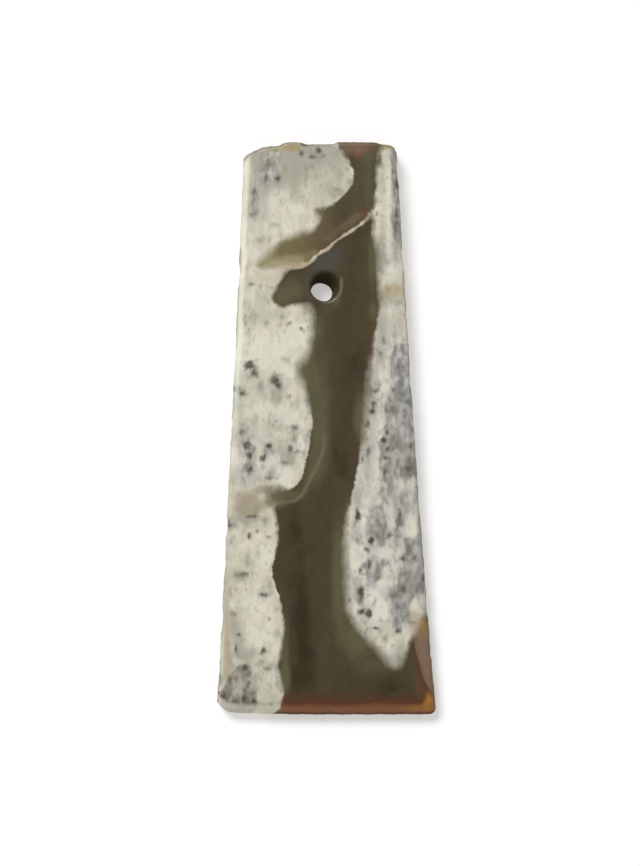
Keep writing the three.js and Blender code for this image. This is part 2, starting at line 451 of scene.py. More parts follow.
def wearTree():
    tree = bpy.data.node_groups.new("old wear", "GeometryNodeTree")
    sockets = tree.interface
    sockets.new_socket(name="Geometry", in_out="INPUT", socket_type="NodeSocketGeometry")
    for name in wear:
        sockets.new_socket(name=name, in_out="INPUT", socket_type="NodeSocketFloat")
    sockets.new_socket(name="Seed", in_out="INPUT", socket_type="NodeSocketInt")
    sockets.new_socket(name="Stone", in_out="INPUT", socket_type="NodeSocketMaterial")
    sockets.new_socket(name="Geometry", in_out="OUTPUT", socket_type="NodeSocketGeometry")
    size = makeNode(tree, "NodeGroupInput").outputs
    position = makeNode(tree, "GeometryNodeInputPosition").outputs[0]

    # Points scattered along the worn border lines, each with a reach of its own
    onLine = makeNode(tree, "GeometryNodeInputNamedAttribute",
                      {"Name": "wornLine"}, data_type="BOOLEAN")
    line = makeNode(tree, "GeometryNodeMeshToCurve",
                    {"Mesh": size["Geometry"], "Selection": onLine.outputs[0]})
    points = makeNode(tree, "GeometryNodeCurveToPoints",
                      {"Curve": line.outputs[0], "Length": size["Bruise Spacing"]}, mode="LENGTH")
    away = makeNode(tree, "FunctionNodeRandomValue", {"Seed": size["Seed"]}, data_type="FLOAT_VECTOR")
    away.inputs["Min"].default_value = (-1, -1, -1)
    shift = makeNode(tree, "ShaderNodeVectorMath",
                     {0: away.outputs[0], "Scale": size["Bruise Spacing"]}, operation="SCALE")
    half = makeNode(tree, "ShaderNodeVectorMath",
                    {0: shift.outputs[0], "Scale": 0.5}, operation="SCALE")
    scattered = makeNode(tree, "GeometryNodeSetPosition",
                         {"Geometry": points.outputs[0], "Offset": half.outputs[0]})
    share = makeNode(tree, "FunctionNodeRandomValue",
                     {2: smallestReach, 3: 1.0, "Seed": size["Seed"]}, data_type="FLOAT")
    reach = mathOf(tree, "MULTIPLY", share.outputs[1], size["Bruise Reach"])
    stored = makeNode(tree, "GeometryNodeStoreNamedAttribute",
                      {"Geometry": scattered.outputs[0], "Name": "reach", "Value": reach},
                      data_type="FLOAT")

    # How deep the nearest bruise goes at each place on the surface
    gap = makeNode(tree, "GeometryNodeProximity", {0: stored.outputs[0]}, target_element="POINTS")
    nearest = makeNode(tree, "GeometryNodeSampleNearest", {0: stored.outputs[0]})
    named = makeNode(tree, "GeometryNodeInputNamedAttribute", {"Name": "reach"}, data_type="FLOAT")
    inputs = {"Geometry": stored.outputs[0], "Value": named.outputs[0], "Index": nearest.outputs[0]}
    sampled = makeNode(tree, "GeometryNodeSampleIndex", inputs, data_type="FLOAT")
    closeness = mathOf(tree, "DIVIDE", gap.outputs["Distance"], sampled.outputs[0])
    dent = rampOf(tree, closeness, 1, 0)
    along = makeNode(tree, "ShaderNodeSeparateXYZ", {0: position}).outputs["Y"]
    harderFrom, harderTo = (blade["buttY"] - inset for inset in buttHarderInsets)
    atButt = rampOf(tree, along, harderFrom * mm, harderTo * mm)
    harder = mathOf(tree, "MULTIPLY_ADD", atButt, buttExtra, 1)
    bruise = mathOf(tree, "MULTIPLY", mathOf(tree, "MULTIPLY", dent, size["Bruise Depth"]), harder)

    # Two sizes of unevenness, and rougher ground where the butt was never polished
    depth = bruise
    for kind in ("Relief", "Grain"):
        scale = mathOf(tree, "DIVIDE", 1, size[f"{kind} Size"])
        noise = makeNode(tree, "ShaderNodeTexNoise",
                         {"Vector": position, "Scale": scale, "Detail": 2.0})
        amount = mathOf(tree, "MULTIPLY", noise.outputs[0], size[f"{kind} Depth"])
        depth = mathOf(tree, "ADD", depth, mathOf(tree, "MULTIPLY", amount, harder))
    firmness = makeNode(tree, "GeometryNodeInputNamedAttribute",
                        {"Name": "firmness"}, data_type="FLOAT")
    depth = mathOf(tree, "MULTIPLY", depth, firmness.outputs[0])
    normal = makeNode(tree, "GeometryNodeInputNormal").outputs[0]
    inwards = makeNode(tree, "ShaderNodeVectorMath",
                       {0: normal, "Scale": mathOf(tree, "MULTIPLY", depth, -1)}, operation="SCALE")
    worn = makeNode(tree, "GeometryNodeSetPosition",
                    {"Geometry": size["Geometry"], "Offset": inwards.outputs[0]})
    real = makeNode(tree, "GeometryNodeRealizeInstances", {0: worn.outputs[0]})
    painted = makeNode(tree, "GeometryNodeSetMaterial",
                       {"Geometry": real.outputs[0], "Material": size["Stone"]})
    makeNode(tree, "NodeGroupOutput", {0: painted.outputs[0]})
    return tree


def wearDown(mesh, material):
    rough = bpy.data.objects.new("rough_blade", mesh)
    bpy.context.scene.collection.objects.link(rough)
    tree = wearTree()
    modifier = rough.modifiers.new("old wear", "NODES")
    modifier.node_group = tree
    values = {name: value * mm for name, value in wear.items()} | {"Seed": wearSeed, "Stone": material}
    for item in tree.interface.items_tree:
        if item.in_out == "INPUT" and item.name in values:
            modifier[item.identifier] = values[item.name]
    graph = bpy.context.evaluated_depsgraph_get()
    evaluated = rough.evaluated_get(graph)
    wornMesh = bpy.data.meshes.new_from_object(
        evaluated, preserve_all_data_layers=True, depsgraph=graph)
    rough.modifiers.clear()
    bpy.data.objects.remove(rough)
    return wornMesh


# Markings, as outlines and lines on the upper face. They lean on their way down through the stone:
# by how far, how much that sways, and from what share of the depth and over what share of it.
lean = {
    "x": 3.2,
    "y": -4.5,
    "swayX": 1.6,
    "swayY": 2.0,
    "from": 0.35,
    "over": 0.5,
}

darkBand = (
    (14.4, 66.6), (14.9, 60.9), (15.5, 58.1), (16.4, 52.6), (16.5, 47.0), (17.3, 42.2), (16.9, 37.6),
    (15.8, 32.1), (14.9, 26.0), (13.9, 17.0), (13.1, 9.5), (12.2, 0.0), (10.9, -7.0), (9.3, -14.5),
    (8.0, -21.5), (6.6, -29.3), (6.2, -38.0), (6.7, -47.5), (7.2, -56.5), (10.0, -62.3), (14.6, -67.2),
    (18.2, -71.3), (21.3, -74.4), (24.0, -72.1), (25.9, -67.1), (28.5, -62.4), (31.2, -58.8),
    (39.0, -57.0), (42.0, -80.0), (42.0, -99.0), (10.0, -99.0), (-15.2, -97.0), (-14.9, -89.5),
    (-13.9, -85.5), (-13.4, -81.5), (-15.2, -74.0), (-13.7, -66.2), (-13.5, -59.6), (-14.8, -52.5),
    (-16.6, -47.5), (-16.8, -43.5), (-15.5, -37.5), (-15.4, -30.2), (-16.3, -26.7), (-16.8, -24.6),
    (-17.8, -23.8), (-19.0, -21.8), (-18.4, -19.4), (-16.6, -18.6), (-14.6, -18.3), (-12.1, -18.9),
    (-10.0, -18.2), (-8.6, -16.8), (-7.4, -14.5), (-5.9, -8.8), (-4.4, 1.9), (-4.7, 5.6), (-6.0, 10.4),
    (-8.1, 15.0), (-9.0, 19.0), (-6.1, 23.2), (-4.8, 28.6), (-4.5, 35.0), (-6.0, 38.2), (-10.5, 38.6),
    (-14.0, 37.7), (-17.0, 41.3), (-15.0, 45.2), (-12.4, 49.4), (-7.1, 50.3), (-4.8, 51.6),
    (-3.0, 53.7), (0.7, 56.3), (4.3, 59.2), (7.9, 61.5), (11.5, 64.0),
)
darkBranch = (
    (3.2, 96.0), (3.6, 89.8), (5.6, 85.6), (8.2, 81.0), (8.2, 77.2), (6.2, 73.9), (3.6, 71.0),
    (0.4, 69.4), (-3.4, 68.7), (-2.6, 67.0), (-2.3, 65.0), (-4.0, 62.6), (-7.5, 61.2), (-12.2, 59.4),
    (-16.2, 57.2), (-19.4, 54.0), (-21.6, 51.2), (-20.0, 50.2), (-15.3, 51.2), (-10.2, 51.9),
    (-6.4, 52.2), (-4.6, 52.9), (-3.0, 54.4), (0.7, 57.0), (4.3, 59.9), (7.9, 62.2), (11.5, 64.7),
    (14.6, 68.0), (15.0, 71.8), (15.8, 75.4), (15.8, 79.7), (16.4, 84.4), (18.4, 89.8), (19.0, 96.0),
)

# Thin lines: the vein over the band, the thread inside it, and the line round a facet at the corner
veinLine = (
    (15.2, 68.6), (13.4, 66.4), (11.5, 64.35), (9.6, 63.2), (7.9, 61.85), (6.0, 60.9), (4.3, 59.55),
    (2.6, 58.4), (0.7, 56.65), (-1.2, 55.5), (-3.0, 54.05), (-4.8, 52.0), (-6.6, 50.7), (-9.5, 50.3),
    (-12.4, 50.2), (-16.0, 49.6),
)
threadLine = (
    (-17.0, -23.6), (-13.6, -23.1), (-10.0, -22.6), (-7.8, -21.0), (-6.4, -18.6), (-4.6, -15.2),
    (-2.6, -11.0), (-1.0, -7.0), (-0.9, -3.0), (-1.4, 1.0),
)
facetLine = (
    (27.6, -59.0), (27.4, -62.3), (28.2, -69.0), (29.6, -73.9), (30.7, -78.1), (32.8, -82.1),
    (34.6, -85.4), (36.2, -88.8),
)
cornerPatch = (
    (-22.2, -96.0), (-22.2, -89.0), (-21.8, -83.3), (-22.0, -79.4), (-23.2, -76.8), (-24.0, -74.7),
    (-26.5, -73.9), (-28.6, -75.4), (-31.1, -79.0), (-33.4, -82.3), (-40.0, -84.0), (-40.0, -96.0),
)

# Soft patches of tone: middle x, y, half width, half height, strength
patches = {
    # the grey marbling
    "grey": (
        # towards the butt
        (21.4, 85.4, 1.4, 2.6, 0.4), (21.4, 83.5, 2, 4.5, 0.6), (-17.8, 81, 3, 4.5, 0.8),
        (21.6, 76, 2, 4, 0.4), (22, 76, 0.9, 7, 1), (-22.4, 71.5, 1.4, 4.5, 0.8), (20.7, 66, 1, 2.4, 0.6),
        (22.2, 65, 1, 5, 1), (21.6, 64, 2, 5, 0.3), (22.6, 54, 1.2, 4, 0.6),
        # left of the band
        (-20.4, 14.6, 3.4, 3, 0.4), (-21.5, 10, 2.4, 2.4, 0.3), (-26, 0.8, 0.9, 1.2, 0.9),
        (-29.2, -4, 1.2, 14, 0.4), (-23.5, -6.6, 0.9, 1, 1.1), (-18.3, -6.6, 0.9, 1, 1.1),
        (-19, -7, 3, 4, 0.5), (-25.5, -10.5, 2.8, 6.5, 0.7),
        # left of it, towards the cutting edge
        (-29.3, -30, 1.6, 2, 0.6),
        # right of the band
        (22.8, 22, 2.2, 6, 1), (24.6, 20.6, 1.2, 2.8, 1.4), (25.2, 19.6, 2, 3.4, 0.7),
        (21.2, 19.5, 1.6, 3, 0.6), (25, 19.5, 2.4, 3.5, 0.5), (22.1, 18.8, 1.1, 4, 2),
        (23.6, 16, 4.2, 15, 0.8), (16.9, 13.6, 0.8, 1.8, 1.2), (14.3, 13, 0.8, 3.6, 0.8),
        (24, 12, 3, 6, 1), (21.3, 10, 1.8, 2.6, 0.4), (21.3, 10, 1.4, 2, 0.5), (14.4, 7.6, 0.9, 1.4, 0.8),
        (19.4, 7.2, 1, 1.2, 0.8), (20.5, 7, 1.8, 4, 0.8), (24.4, 7, 1.1, 1, 1.6), (25, 6.2, 1.8, 2, 0.5),
        (23.2, 4, 1.2, 4, 0.4),
        # right of it, towards the cutting edge
        (24.4, -1, 4, 6, 0.6), (19.3, -5.2, 1, 6, 2), (17.6, -7.2, 1.4, 3, 0.9),
        (27, -7.6, 0.9, 1.4, 0.8), (23.4, -8, 6, 11, 0.8), (22, -9, 3.5, 6, 1),
        (21.2, -10.6, 1.8, 3, 0.6), (21.3, -11, 2.2, 4, 0.5), (17.4, -12.6, 1.4, 1.6, 0.6),
        (21.9, -12.9, 1.1, 1.4, 0.8), (26, -13, 2.5, 4, 1), (18, -21, 4, 3, 0.5),
        (19.4, -24, 4.4, 2.2, 0.4), (25, -24, 2, 1.8, 0.5), (26.9, -25.6, 1, 1.8, 1.2),
        (29.4, -28, 1.4, 10, 0.4), (17, -29, 3.4, 4, 1), (22.8, -29, 1.6, 5, 1),
        (14.3, -29.4, 0.9, 2, 1.2), (15.2, -30, 1.8, 4, 0.8), (18, -30, 6.5, 9, 0.6),
        (9.5, -33, 2.5, 4, 0.5), (26.6, -35.6, 1.4, 1.4, 1.2), (19.5, -36, 5, 3, 0.6),
        (29.2, -39, 1.6, 4, 0.9), (26.2, -40, 4, 3, 1), (18.2, -41.8, 1.6, 1.3, 1.2),
        (27.4, -42, 1.8, 5, 1.4), (11.8, -42.8, 0.8, 1, 0.8), (10.5, -44, 1.5, 3, 0.6),
        (25.6, -45, 2.6, 3.4, 0.7), (29, -45, 1.4, 4, 0.6), (15.3, -45.5, 2.6, 3.4, 1),
        (22, -46, 8, 10, 0.6), (25.2, -46.6, 1.8, 2, 0.8), (14.3, -48, 0.8, 1, 0.8),
        (28, -48, 2.4, 5, 0.6), (25.6, -48.5, 4, 5, 1), (13, -50, 3, 9, 0.4), (25.4, -52, 3, 3.4, 0.5),
        (24.4, -53, 1.2, 1.4, 1.2), (21.3, -53.6, 1.6, 1.6, 0.5), (9.9, -55, 1.7, 4, 0.5),
        (22.5, -56, 3.2, 4, 0.6), (21.4, -57.6, 2.2, 2, 0.8), (21.9, -58, 1.2, 1.3, 1.2),
        (23, -60, 4, 3.4, 0.3), (25.5, -60, 3, 2, 0.5), (21.8, -61, 2.4, 2.4, 0.4),
    ),
    # duller stone
    "shade": (
        # towards the butt
        (-10, 86, 14, 2.8, 1.1), (-14, 85.6, 6, 2.2, 0.6), (21.2, 85.6, 2.2, 2.6, 1), (-5, 85, 7, 3, 0.6),
        (-19, 84, 4, 5, 0.4), (-15.8, 83.4, 3.4, 3.6, 0.7), (4, 82, 3, 4, 0.4), (-9, 80, 6, 3.6, 0.6),
        (21.4, 80, 1.6, 5, 0.6), (17.4, 78, 1.4, 3.5, 0.5), (22.9, 78, 0.7, 9, 0.7), (-18, 77, 6, 9, 0.8),
        (-9.6, 75.4, 1.8, 4.4, 0.6), (-25, 69.4, 1.4, 4.5, 0.6), (-7, 66.6, 3.4, 1.6, 0.6),
        (-21, 66, 4, 6, 0.4), (17.6, 56.5, 1.8, 5, 0.9), (19.4, 56.4, 1.8, 2, 0.6),
        (21.2, 55, 1.6, 3, 0.7), (17.6, 53, 1.4, 4, 0.7), (-19.8, 50.8, 1.6, 2, 0.5),
        (18.1, 50.2, 1.1, 1.3, 0.5), (20.5, 50, 3, 14, 0.5),
        # left of the band
        (-20, 35, 5, 2, 0.5), (-24, 17, 2.5, 3, 0.5), (-29, 14, 1.5, 6, 0.4), (-16, 14, 3, 4, 0.5),
        (-15.5, 9.6, 1.6, 2.2, 1.2), (-28.5, 9, 1, 3, 0.7), (-27.5, 8, 2.4, 9, 0.5),
        (-23.5, 6.4, 1.1, 1.2, 1), (-15.9, 3.4, 1, 1.2, 1.2), (-25.5, -8, 3, 9, 0.6),
        (-18, -8, 5, 6, 0.5), (-12, -8, 3, 5, 0.5), (-10.9, -9.8, 0.9, 1.5, 1),
        # left of it, towards the cutting edge
        (-27.2, -27.4, 1.8, 1.8, 0.6), (-23.6, -27.8, 2.4, 1.6, 0.6), (-23.5, -28, 3.2, 1.4, 0.9),
        (-31.6, -46, 1.3, 26, 0.7), (-26.8, -46.4, 2.4, 1.4, 0.6), (-27.2, -46.8, 1.8, 1.6, 0.6),
        (-20, -47, 4, 3, 0.3), (-29, -60, 2, 6, 0.4), (-29, -62, 1.6, 3, 0.5),
        (-26.8, -66, 2.4, 4.5, 0.7), (-20.6, -68.6, 2.4, 2.2, 0.4), (-24.4, -69, 2, 3, 0.6),
        (-24, -72, 4, 4, 0.5), (-31, -77, 1.6, 5, 0.7), (-16.4, -84.6, 2.2, 2, 0.6),
        # right of the band
        (18.3, 40, 1.3, 1.7, 0.9), (20, 36, 3, 5, 0.4), (16.9, 33.5, 1.1, 2.2, 1),
        (17.6, 28, 1.8, 6, 0.8), (17.4, 23, 1.4, 4.5, 0.8), (16.8, 22.6, 1.1, 2.6, 0.9),
        (14.3, 13.6, 0.9, 6, 0.8), (16.9, 13.6, 0.8, 1.8, 1), (14.2, 13.5, 1, 3.4, 0.8),
        (13.4, 12, 1, 6, 0.6), (15, 8, 1.6, 7, 0.6),
        # right of it, towards the cutting edge
        (14.2, -6.5, 1.2, 4, 0.6), (12.7, -8, 1.3, 7, 0.8), (13.8, -20.4, 1.6, 1.6, 0.5),
        (9.8, -20.6, 1.4, 2.6, 0.9), (11, -22, 2.4, 2.6, 0.7), (29.2, -23, 1.2, 6, 0.6),
        (29.6, -24, 1.3, 12, 0.5), (8.2, -31, 1.4, 4, 0.5), (9.6, -34.6, 1.4, 1.8, 0.6),
        (9.3, -36.6, 0.9, 2.2, 1.3), (7.4, -39, 0.9, 3.4, 0.7), (11, -48, 2, 6, 0.5),
        (8.4, -50, 1.6, 9, 0.6), (12, -58, 3, 3, 0.6), (11.8, -60.6, 0.9, 1.1, 0.9),
        (16.9, -63.2, 1, 1.2, 1.2), (23.5, -70, 2.4, 4, 0.6), (19, -70.4, 2, 2, 0.8),
        (22, -71.6, 2.4, 2.4, 0.6),
    ),
    # cleaner, lighter stone
    "bright": (
        # towards the butt
        (19.4, 74, 0.9, 12, 1), (-14, 73.6, 2.4, 1.8, 0.4), (-16.6, 70.6, 3.2, 3.4, 0.7),
        (-8.6, 68.4, 3.4, 2.4, 0.9), (-15, 63, 7, 3.5, 0.7), (19.8, 54, 1.6, 7, 0.6),
        # left of the band
        (-23.2, 42, 1.6, 4, 0.6), (-8.5, 30, 3, 3.5, 1.2), (-26, 29.6, 1.2, 2.4, 0.9),
        (-17, 26.5, 9, 4.5, 1), (-18.5, 21, 6, 2.8, 0.7), (-26, 20.4, 1.2, 2.4, 0.9),
        (-12.2, 18, 1.6, 1.6, 0.9), (-10.6, 16.6, 1, 1.4, 0.8), (-11.5, 6.5, 4.5, 2.5, 0.6),
        (-21.5, 5, 5, 2.8, 0.9), (-11.4, 2.6, 2.6, 2, 1.2), (-8, 1.4, 1.2, 1.5, 0.8),
        (-14.4, -2, 3, 2.4, 0.5), (-8, -4.8, 1.5, 2.8, 1.2), (-20.9, -8, 0.9, 5, 0.8),
        (-28.5, -9, 1.1, 3, 1.1), (-15.9, -9.2, 1, 1.2, 1), (-26, -10.4, 1, 1.5, 0.9),
        (-17.8, -11, 3, 2.6, 0.6), (-12.8, -15, 3.4, 3.6, 0.9),
        # left of it, towards the cutting edge
        (-19.8, -21.2, 0.9, 0.8, 1.4), (-20, -21.6, 1.1, 0.9, 1.3), (-26.4, -31, 1.6, 2.4, 0.4),
        (-29.2, -32.6, 1.6, 1.4, 0.6), (-18, -38, 3.6, 6, 0.5), (-19.2, -40.6, 3, 3, 0.7),
        (-23.8, -54, 2, 2.6, 0.6), (-29.4, -55, 1.6, 1.8, 0.7), (-21, -57, 5, 7, 0.7),
        (-21.5, -66, 4, 3, 1), (-29.2, -72.8, 1.3, 1.6, 0.7), (-21.6, -73, 1.8, 1.4, 0.6),
        (-16.6, -77.6, 1.6, 2.2, 0.8),
        # right of the band
        (20.8, 48.8, 1.3, 2.2, 0.7), (18, 45, 1.1, 1.1, 0.5), (17.6, 44.4, 1.5, 1.8, 0.5),
        (20.4, 36.4, 1.8, 2.2, 0.9), (25, 30, 2, 3.5, 0.7), (23, 27.4, 2, 1.5, 0.9),
        (20.6, 21, 0.9, 7, 0.9), (19.5, 17.4, 1, 5.2, 1.6), (17.6, 15, 1, 8, 1),
        (24.5, 9.7, 1.2, 1.1, 1.6), (16.9, 7.2, 0.8, 1.2, 0.8), (21.4, 2.6, 1.6, 1.4, 0.5),
        (21.9, 0.8, 1.1, 3.8, 2.4), (17.2, 0, 1, 8, 1),
        # right of it, towards the cutting edge
        (24.4, -0.6, 1.2, 1.6, 0.7), (23.4, -11, 0.5, 6, 0.8), (16, -12, 1.1, 6, 0.9),
        (24.4, -13.4, 1.1, 2.4, 2.2), (14.3, -15.4, 1.1, 1.3, 0.8), (27, -16.4, 1.1, 2, 1.2),
        (24.4, -18, 1.2, 1.4, 0.6), (24.8, -18.5, 2.2, 3.4, 0.7), (15.4, -22, 2.2, 3, 0.7),
        (16.9, -23, 1.1, 1.2, 0.8), (18.8, -24.6, 1.6, 1.8, 0.8), (11.8, -27, 1.1, 5.5, 1.4),
        (19.9, -27, 1.9, 3.2, 1.4), (22, -27.6, 1, 1.6, 1.4), (7, -28, 0.8, 5, 0.7),
        (20.8, -30, 2.4, 3, 0.8), (26.6, -30.4, 1.6, 3.6, 1), (27.2, -33, 1.4, 2.4, 0.7),
        (21, -35.4, 1.8, 1.4, 0.6), (21.9, -36, 1.2, 1.6, 1.2), (9.8, -38.6, 1.8, 2.6, 0.8),
        (22.6, -38.6, 3.5, 1, 0.5), (8.4, -40, 1.6, 4, 1), (17.2, -40, 2.2, 5, 0.6),
        (19.6, -40, 3, 5, 0.5), (11.3, -40.2, 1.4, 2.6, 0.9), (18.7, -41.5, 2.2, 6, 0.7),
        (21.4, -43, 2.4, 6.5, 1.3), (14.8, -43.4, 1.2, 1.8, 0.6), (13.9, -43.6, 1.2, 1.2, 1.4),
        (9.9, -44.6, 1.6, 3, 0.9), (11.6, -45.8, 0.9, 1.2, 1.2), (21.7, -46.6, 1.3, 1.9, 1.3),
        (11.8, -48, 0.9, 1, 0.9), (17.3, -48, 1.3, 1.1, 1.3), (15.2, -53.5, 1.7, 4, 0.9),
        (13.6, -53.6, 1.6, 2.2, 1), (27.4, -55.6, 1.4, 5, 1.3), (9.3, -56.6, 1, 2.2, 1),
        (17.4, -57.5, 2.2, 3.6, 1.3), (17.4, -57.6, 1.8, 2.2, 0.5), (12.2, -65, 3, 1.4, 0.8),
        (19.6, -68.5, 2.4, 4, 0.7),
    ),
    # greener stone
    "green": (
        (-10, 82, 5, 4, 0.5), (0.5, 77.5, 6, 6.5, 1), (-20, 40.8, 3.4, 3.2, 1), (-23.3, 35, 1.4, 2, 0.7),
        (17.8, 26, 1.2, 4, 0.9), (-23.4, 10, 4, 3, 0.3), (13.6, 2, 1.6, 9, 0.8), (12.8, -8, 1.4, 7, 0.8),
        (25.6, -20.5, 3, 3.6, 0.6), (24.4, -22.5, 3, 3.4, 1), (-29.2, -31, 2.4, 3, 0.8),
        (-28.6, -45, 2.4, 3, 0.9), (27.5, -56.5, 2.5, 3, 0.6), (-18.6, -84, 3, 4.6, 0.9),
        (-17.6, -88, 3.6, 2.4, 0.8), (-27, -89, 5, 1, 0.8),
    ),
    # tan stains
    "tan": (
        (20, 88.8, 2.2, 1.1, 1), (-15.5, 87.3, 3, 1.4, 0.7), (-11.5, 51.2, 6.5, 1.3, 1.4),
        (-16.5, 47.4, 7, 2.2, 0.5), (21.8, 43.2, 3, 1.9, 1.2), (23.5, 33, 1.3, 4, 0.5),
        (15.6, 18, 0.6, 6, 0.5), (-25, -21.4, 4.5, 2, 0.7), (-22.5, -25.2, 4.6, 1.4, 0.8),
        (-31.8, -56, 0.8, 12, 0.35), (27.2, -58.4, 2.2, 1.8, 0.9), (-31.4, -62, 0.7, 8, 0.35),
        (27.4, -62, 1.8, 2.6, 0.7), (-30.9, -69, 1, 4, 0.45), (-30.6, -73, 0.8, 5, 0.7),
        (-30.8, -77.6, 0.9, 2, 0.9),
    ),
    # the broad end of the tan vein
    "smear": (
        (-10, 51.6, 5, 0.8, 0.5), (-18.4, -18.7, 1.9, 1.1, 1), (-21.2, -19.2, 1.6, 1, 0.7),
        (-24.5, -21.6, 3.6, 2, 0.8), (-18, -23.4, 1.7, 1.2, 1), (-23.5, -24.4, 3.2, 1.5, 1.2),
        (-27.4, -25.6, 2.4, 2.2, 0.5), (-24, -26.4, 2.2, 1.3, 0.9),
    ),
    # a painted highlight on the lit edge of the hole
    "rimLight": ((4.75, 45.4, 0.5, 1.9, 1.1), (4.2, 42.4, 0.6, 1.3, 0.6)),
    # ochre stains
    "ochre": (
        (18.6, 88.4, 1.3, 1.2, 1), (-13.5, 88.2, 1.5, 0.8, 0.7), (-10.3, 87.7, 2.4, 1.3, 1.2),
        (-20.5, 51.4, 2.6, 1.6, 0.5), (-9.5, 51.4, 3.4, 0.9, 0.7), (18.6, 43.8, 1.4, 2.2, 0.9),
        (29.2, -58.8, 1.4, 2, 0.25), (30.9, -61.4, 1.6, 2.4, 1.2),
    ),
    # the darkest parts of the band
    "deep": (
        (2, 80, 2, 3, 0.2), (5, 66, 3, 4, 0.3), (8, 20, 4, 9, 0.35), (4.4, -7, 2.6, 9, 0.7),
        (-9.5, -34, 3.4, 7, 0.6), (-8.4, -51, 3.8, 9, 0.7), (-7.2, -66, 3.2, 9, 0.8),
        (-7.5, -79, 3.6, 6, 0.8), (20, -82, 9, 3.5, 0.6),
    ),
    # greener parts of the band
    "olive": (
        (13.4, 85.6, 1.6, 2, 0.5), (13.6, 79.5, 2.6, 6, 0.7), (13.6, 72, 1.6, 3, 0.6),
        (15.4, 60, 1.2, 4, 0.8), (14.6, 53, 1.4, 5, 0.7), (18.2, 51.5, 1.5, 4.5, 1.2),
        (14.6, 47, 1.6, 10, 0.6), (-10.5, 43.5, 4.5, 3.6, 0.9), (-14, 41, 2, 2.4, 1),
        (3.2, 40.6, 1.8, 2.2, 0.5), (2, 40, 3, 5, 0.2), (-5.6, 36.6, 1.6, 1.6, 0.8),
        (14.6, 36.4, 1.4, 2.4, 0.8), (-2.6, 31, 1.6, 4, 0.6), (-5.4, 28, 1.8, 8, 0.8),
        (-0.6, 20, 2.6, 18, 0.45), (-7.6, 18.6, 2.4, 4.5, 1.5), (-6, 16.6, 1.1, 2.6, 0.9),
        (-5, 14, 1.8, 8, 1.1), (11.2, 4, 1.4, 8, 0.6), (10.2, 3, 1.6, 6, 0.9), (-0.8, 2, 2.2, 11, 0.5),
        (-3.8, 0, 1.6, 10, 0.7), (-1.2, -8, 2.2, 10, 0.4), (-4.6, -13, 2.4, 5, 0.6),
        (-7, -17.4, 1.6, 3.4, 0.35), (-10.5, -20.8, 3.4, 1.5, 0.95), (6.6, -26, 1.2, 8, 0.6),
        (-12.8, -38, 1, 10, 0.3), (3.9, -38, 2.6, 10, 0.5), (-5.4, -42.5, 0.8, 3, 0.45),
        (4.4, -48, 2.2, 12, 1), (3.8, -57, 2.4, 6, 0.4), (9.5, -66.5, 4, 5.5, 1.2),
        (-12.8, -70, 1.2, 12, 0.8), (16, -74, 5, 3, 0.6), (-13, -79, 1.4, 5, 0.9),
    ),
    # a painted bluish sheen beside the hole
    "sheen": ((3.4, 55.4, 3, 2.4, 0.7), (-0.6, 51.8, 3.4, 2.8, 1.2), (-5.2, 46, 2, 2.6, 0.8)),
    # russet traces in the dark stone
    "russet": (
        (12.5, 88.8, 4, 1, 0.5), (10, 86.2, 2.2, 1.7, 1), (12, 67.6, 1.5, 1, 1),
        (16.4, 44.6, 0.8, 1.8, 0.8), (12, 40, 1.6, 4, 0.3), (15, 30, 0.7, 5, 0.7),
        (13.2, 29, 1.3, 8, 0.4), (13.6, 20, 0.5, 5, 0.4), (28.2, -70, 1.2, 4, 0.4),
        (29.9, -80, 2.8, 5.5, 0.9),
    ),
    # the branch's pale tip
    "tipLight": ((-4.6, 55, 2.6, 1.2, 0.5), (-10.5, 52.8, 5, 1.6, 1.1), (-16.5, 52.4, 2.4, 1.2, 0.6)),
    # a pinkish trace along the vein
    "pink": (
        (9, 88, 5.5, 2, 1.2), (10.2, 66.6, 2, 1.3, 0.7), (7.8, 64.9, 2, 1.4, 0.6),
        (5.6, 63.2, 2, 1.4, 0.6), (3.2, 61.4, 2, 1.4, 0.6), (0.8, 59.4, 2, 1.3, 0.6),
    ),
    # the orange corner of the cutting edge
    "orange": (
        (31.9, -84.4, 1.1, 2.8, 0.7), (33, -85.8, 1.2, 2.4, 0.6), (32.4, -87.6, 1.8, 1.7, 0.8),
        (28, -87.9, 3.8, 1.3, 0.7), (31.2, -88, 2.6, 1.4, 0.6), (24, -88.4, 3, 1.2, 0.3),
    ),
    # where the pale stone is cooler
    "cool": (
        (-20, 76, 5, 10, 0.4), (22, 76, 4, 16, 0.3), (23, 20, 7, 18, 1), (-22, -8, 6, 12, 0.8),
        (22, -10, 9, 18, 1.2), (20, -42, 11, 20, 1.2),
    ),
    # where the dark stone's border is soft
    "blur": (
        (6, 86, 2, 4, 0.6), (16.8, 86, 1.4, 4, 0.7), (16.6, 80, 1.5, 8, 0.6), (-2, 67, 4, 3, 0.9),
        (14, 67, 1.6, 3, 0.7), (-9, 61, 6, 2.6, 1.2), (15.5, 61, 1.6, 4, 0.6), (-17, 54, 5, 5, 1.5),
        (17.8, 51, 2.4, 6, 1), (16, 46, 2, 8, 0.5), (-15, 41, 3, 4, 0.5), (16.6, 41, 1.5, 3, 0.7),
        (-11, 38.4, 3, 1.5, 0.3), (-5, 37, 2.4, 2, 0.5), (-5, 36, 2, 3, 0.8), (-5, 30, 3, 10, 1),
        (-7.6, 26, 3, 9, 1), (12.5, 18, 2.5, 12, 0.7), (-8.5, 17, 3, 4, 1), (-5, 16, 2.4, 8, 0.6),
        (12.5, 6, 2.6, 14, 1.1), (10.5, 3, 2, 6, 0.5), (-15.6, -19.6, 3.4, 1.6, 0.5),
        (-15.5, -21, 3, 3, 0.6), (-18.2, -21.2, 2.8, 3, 1.6), (-15.5, -30, 2, 6, 0.6),
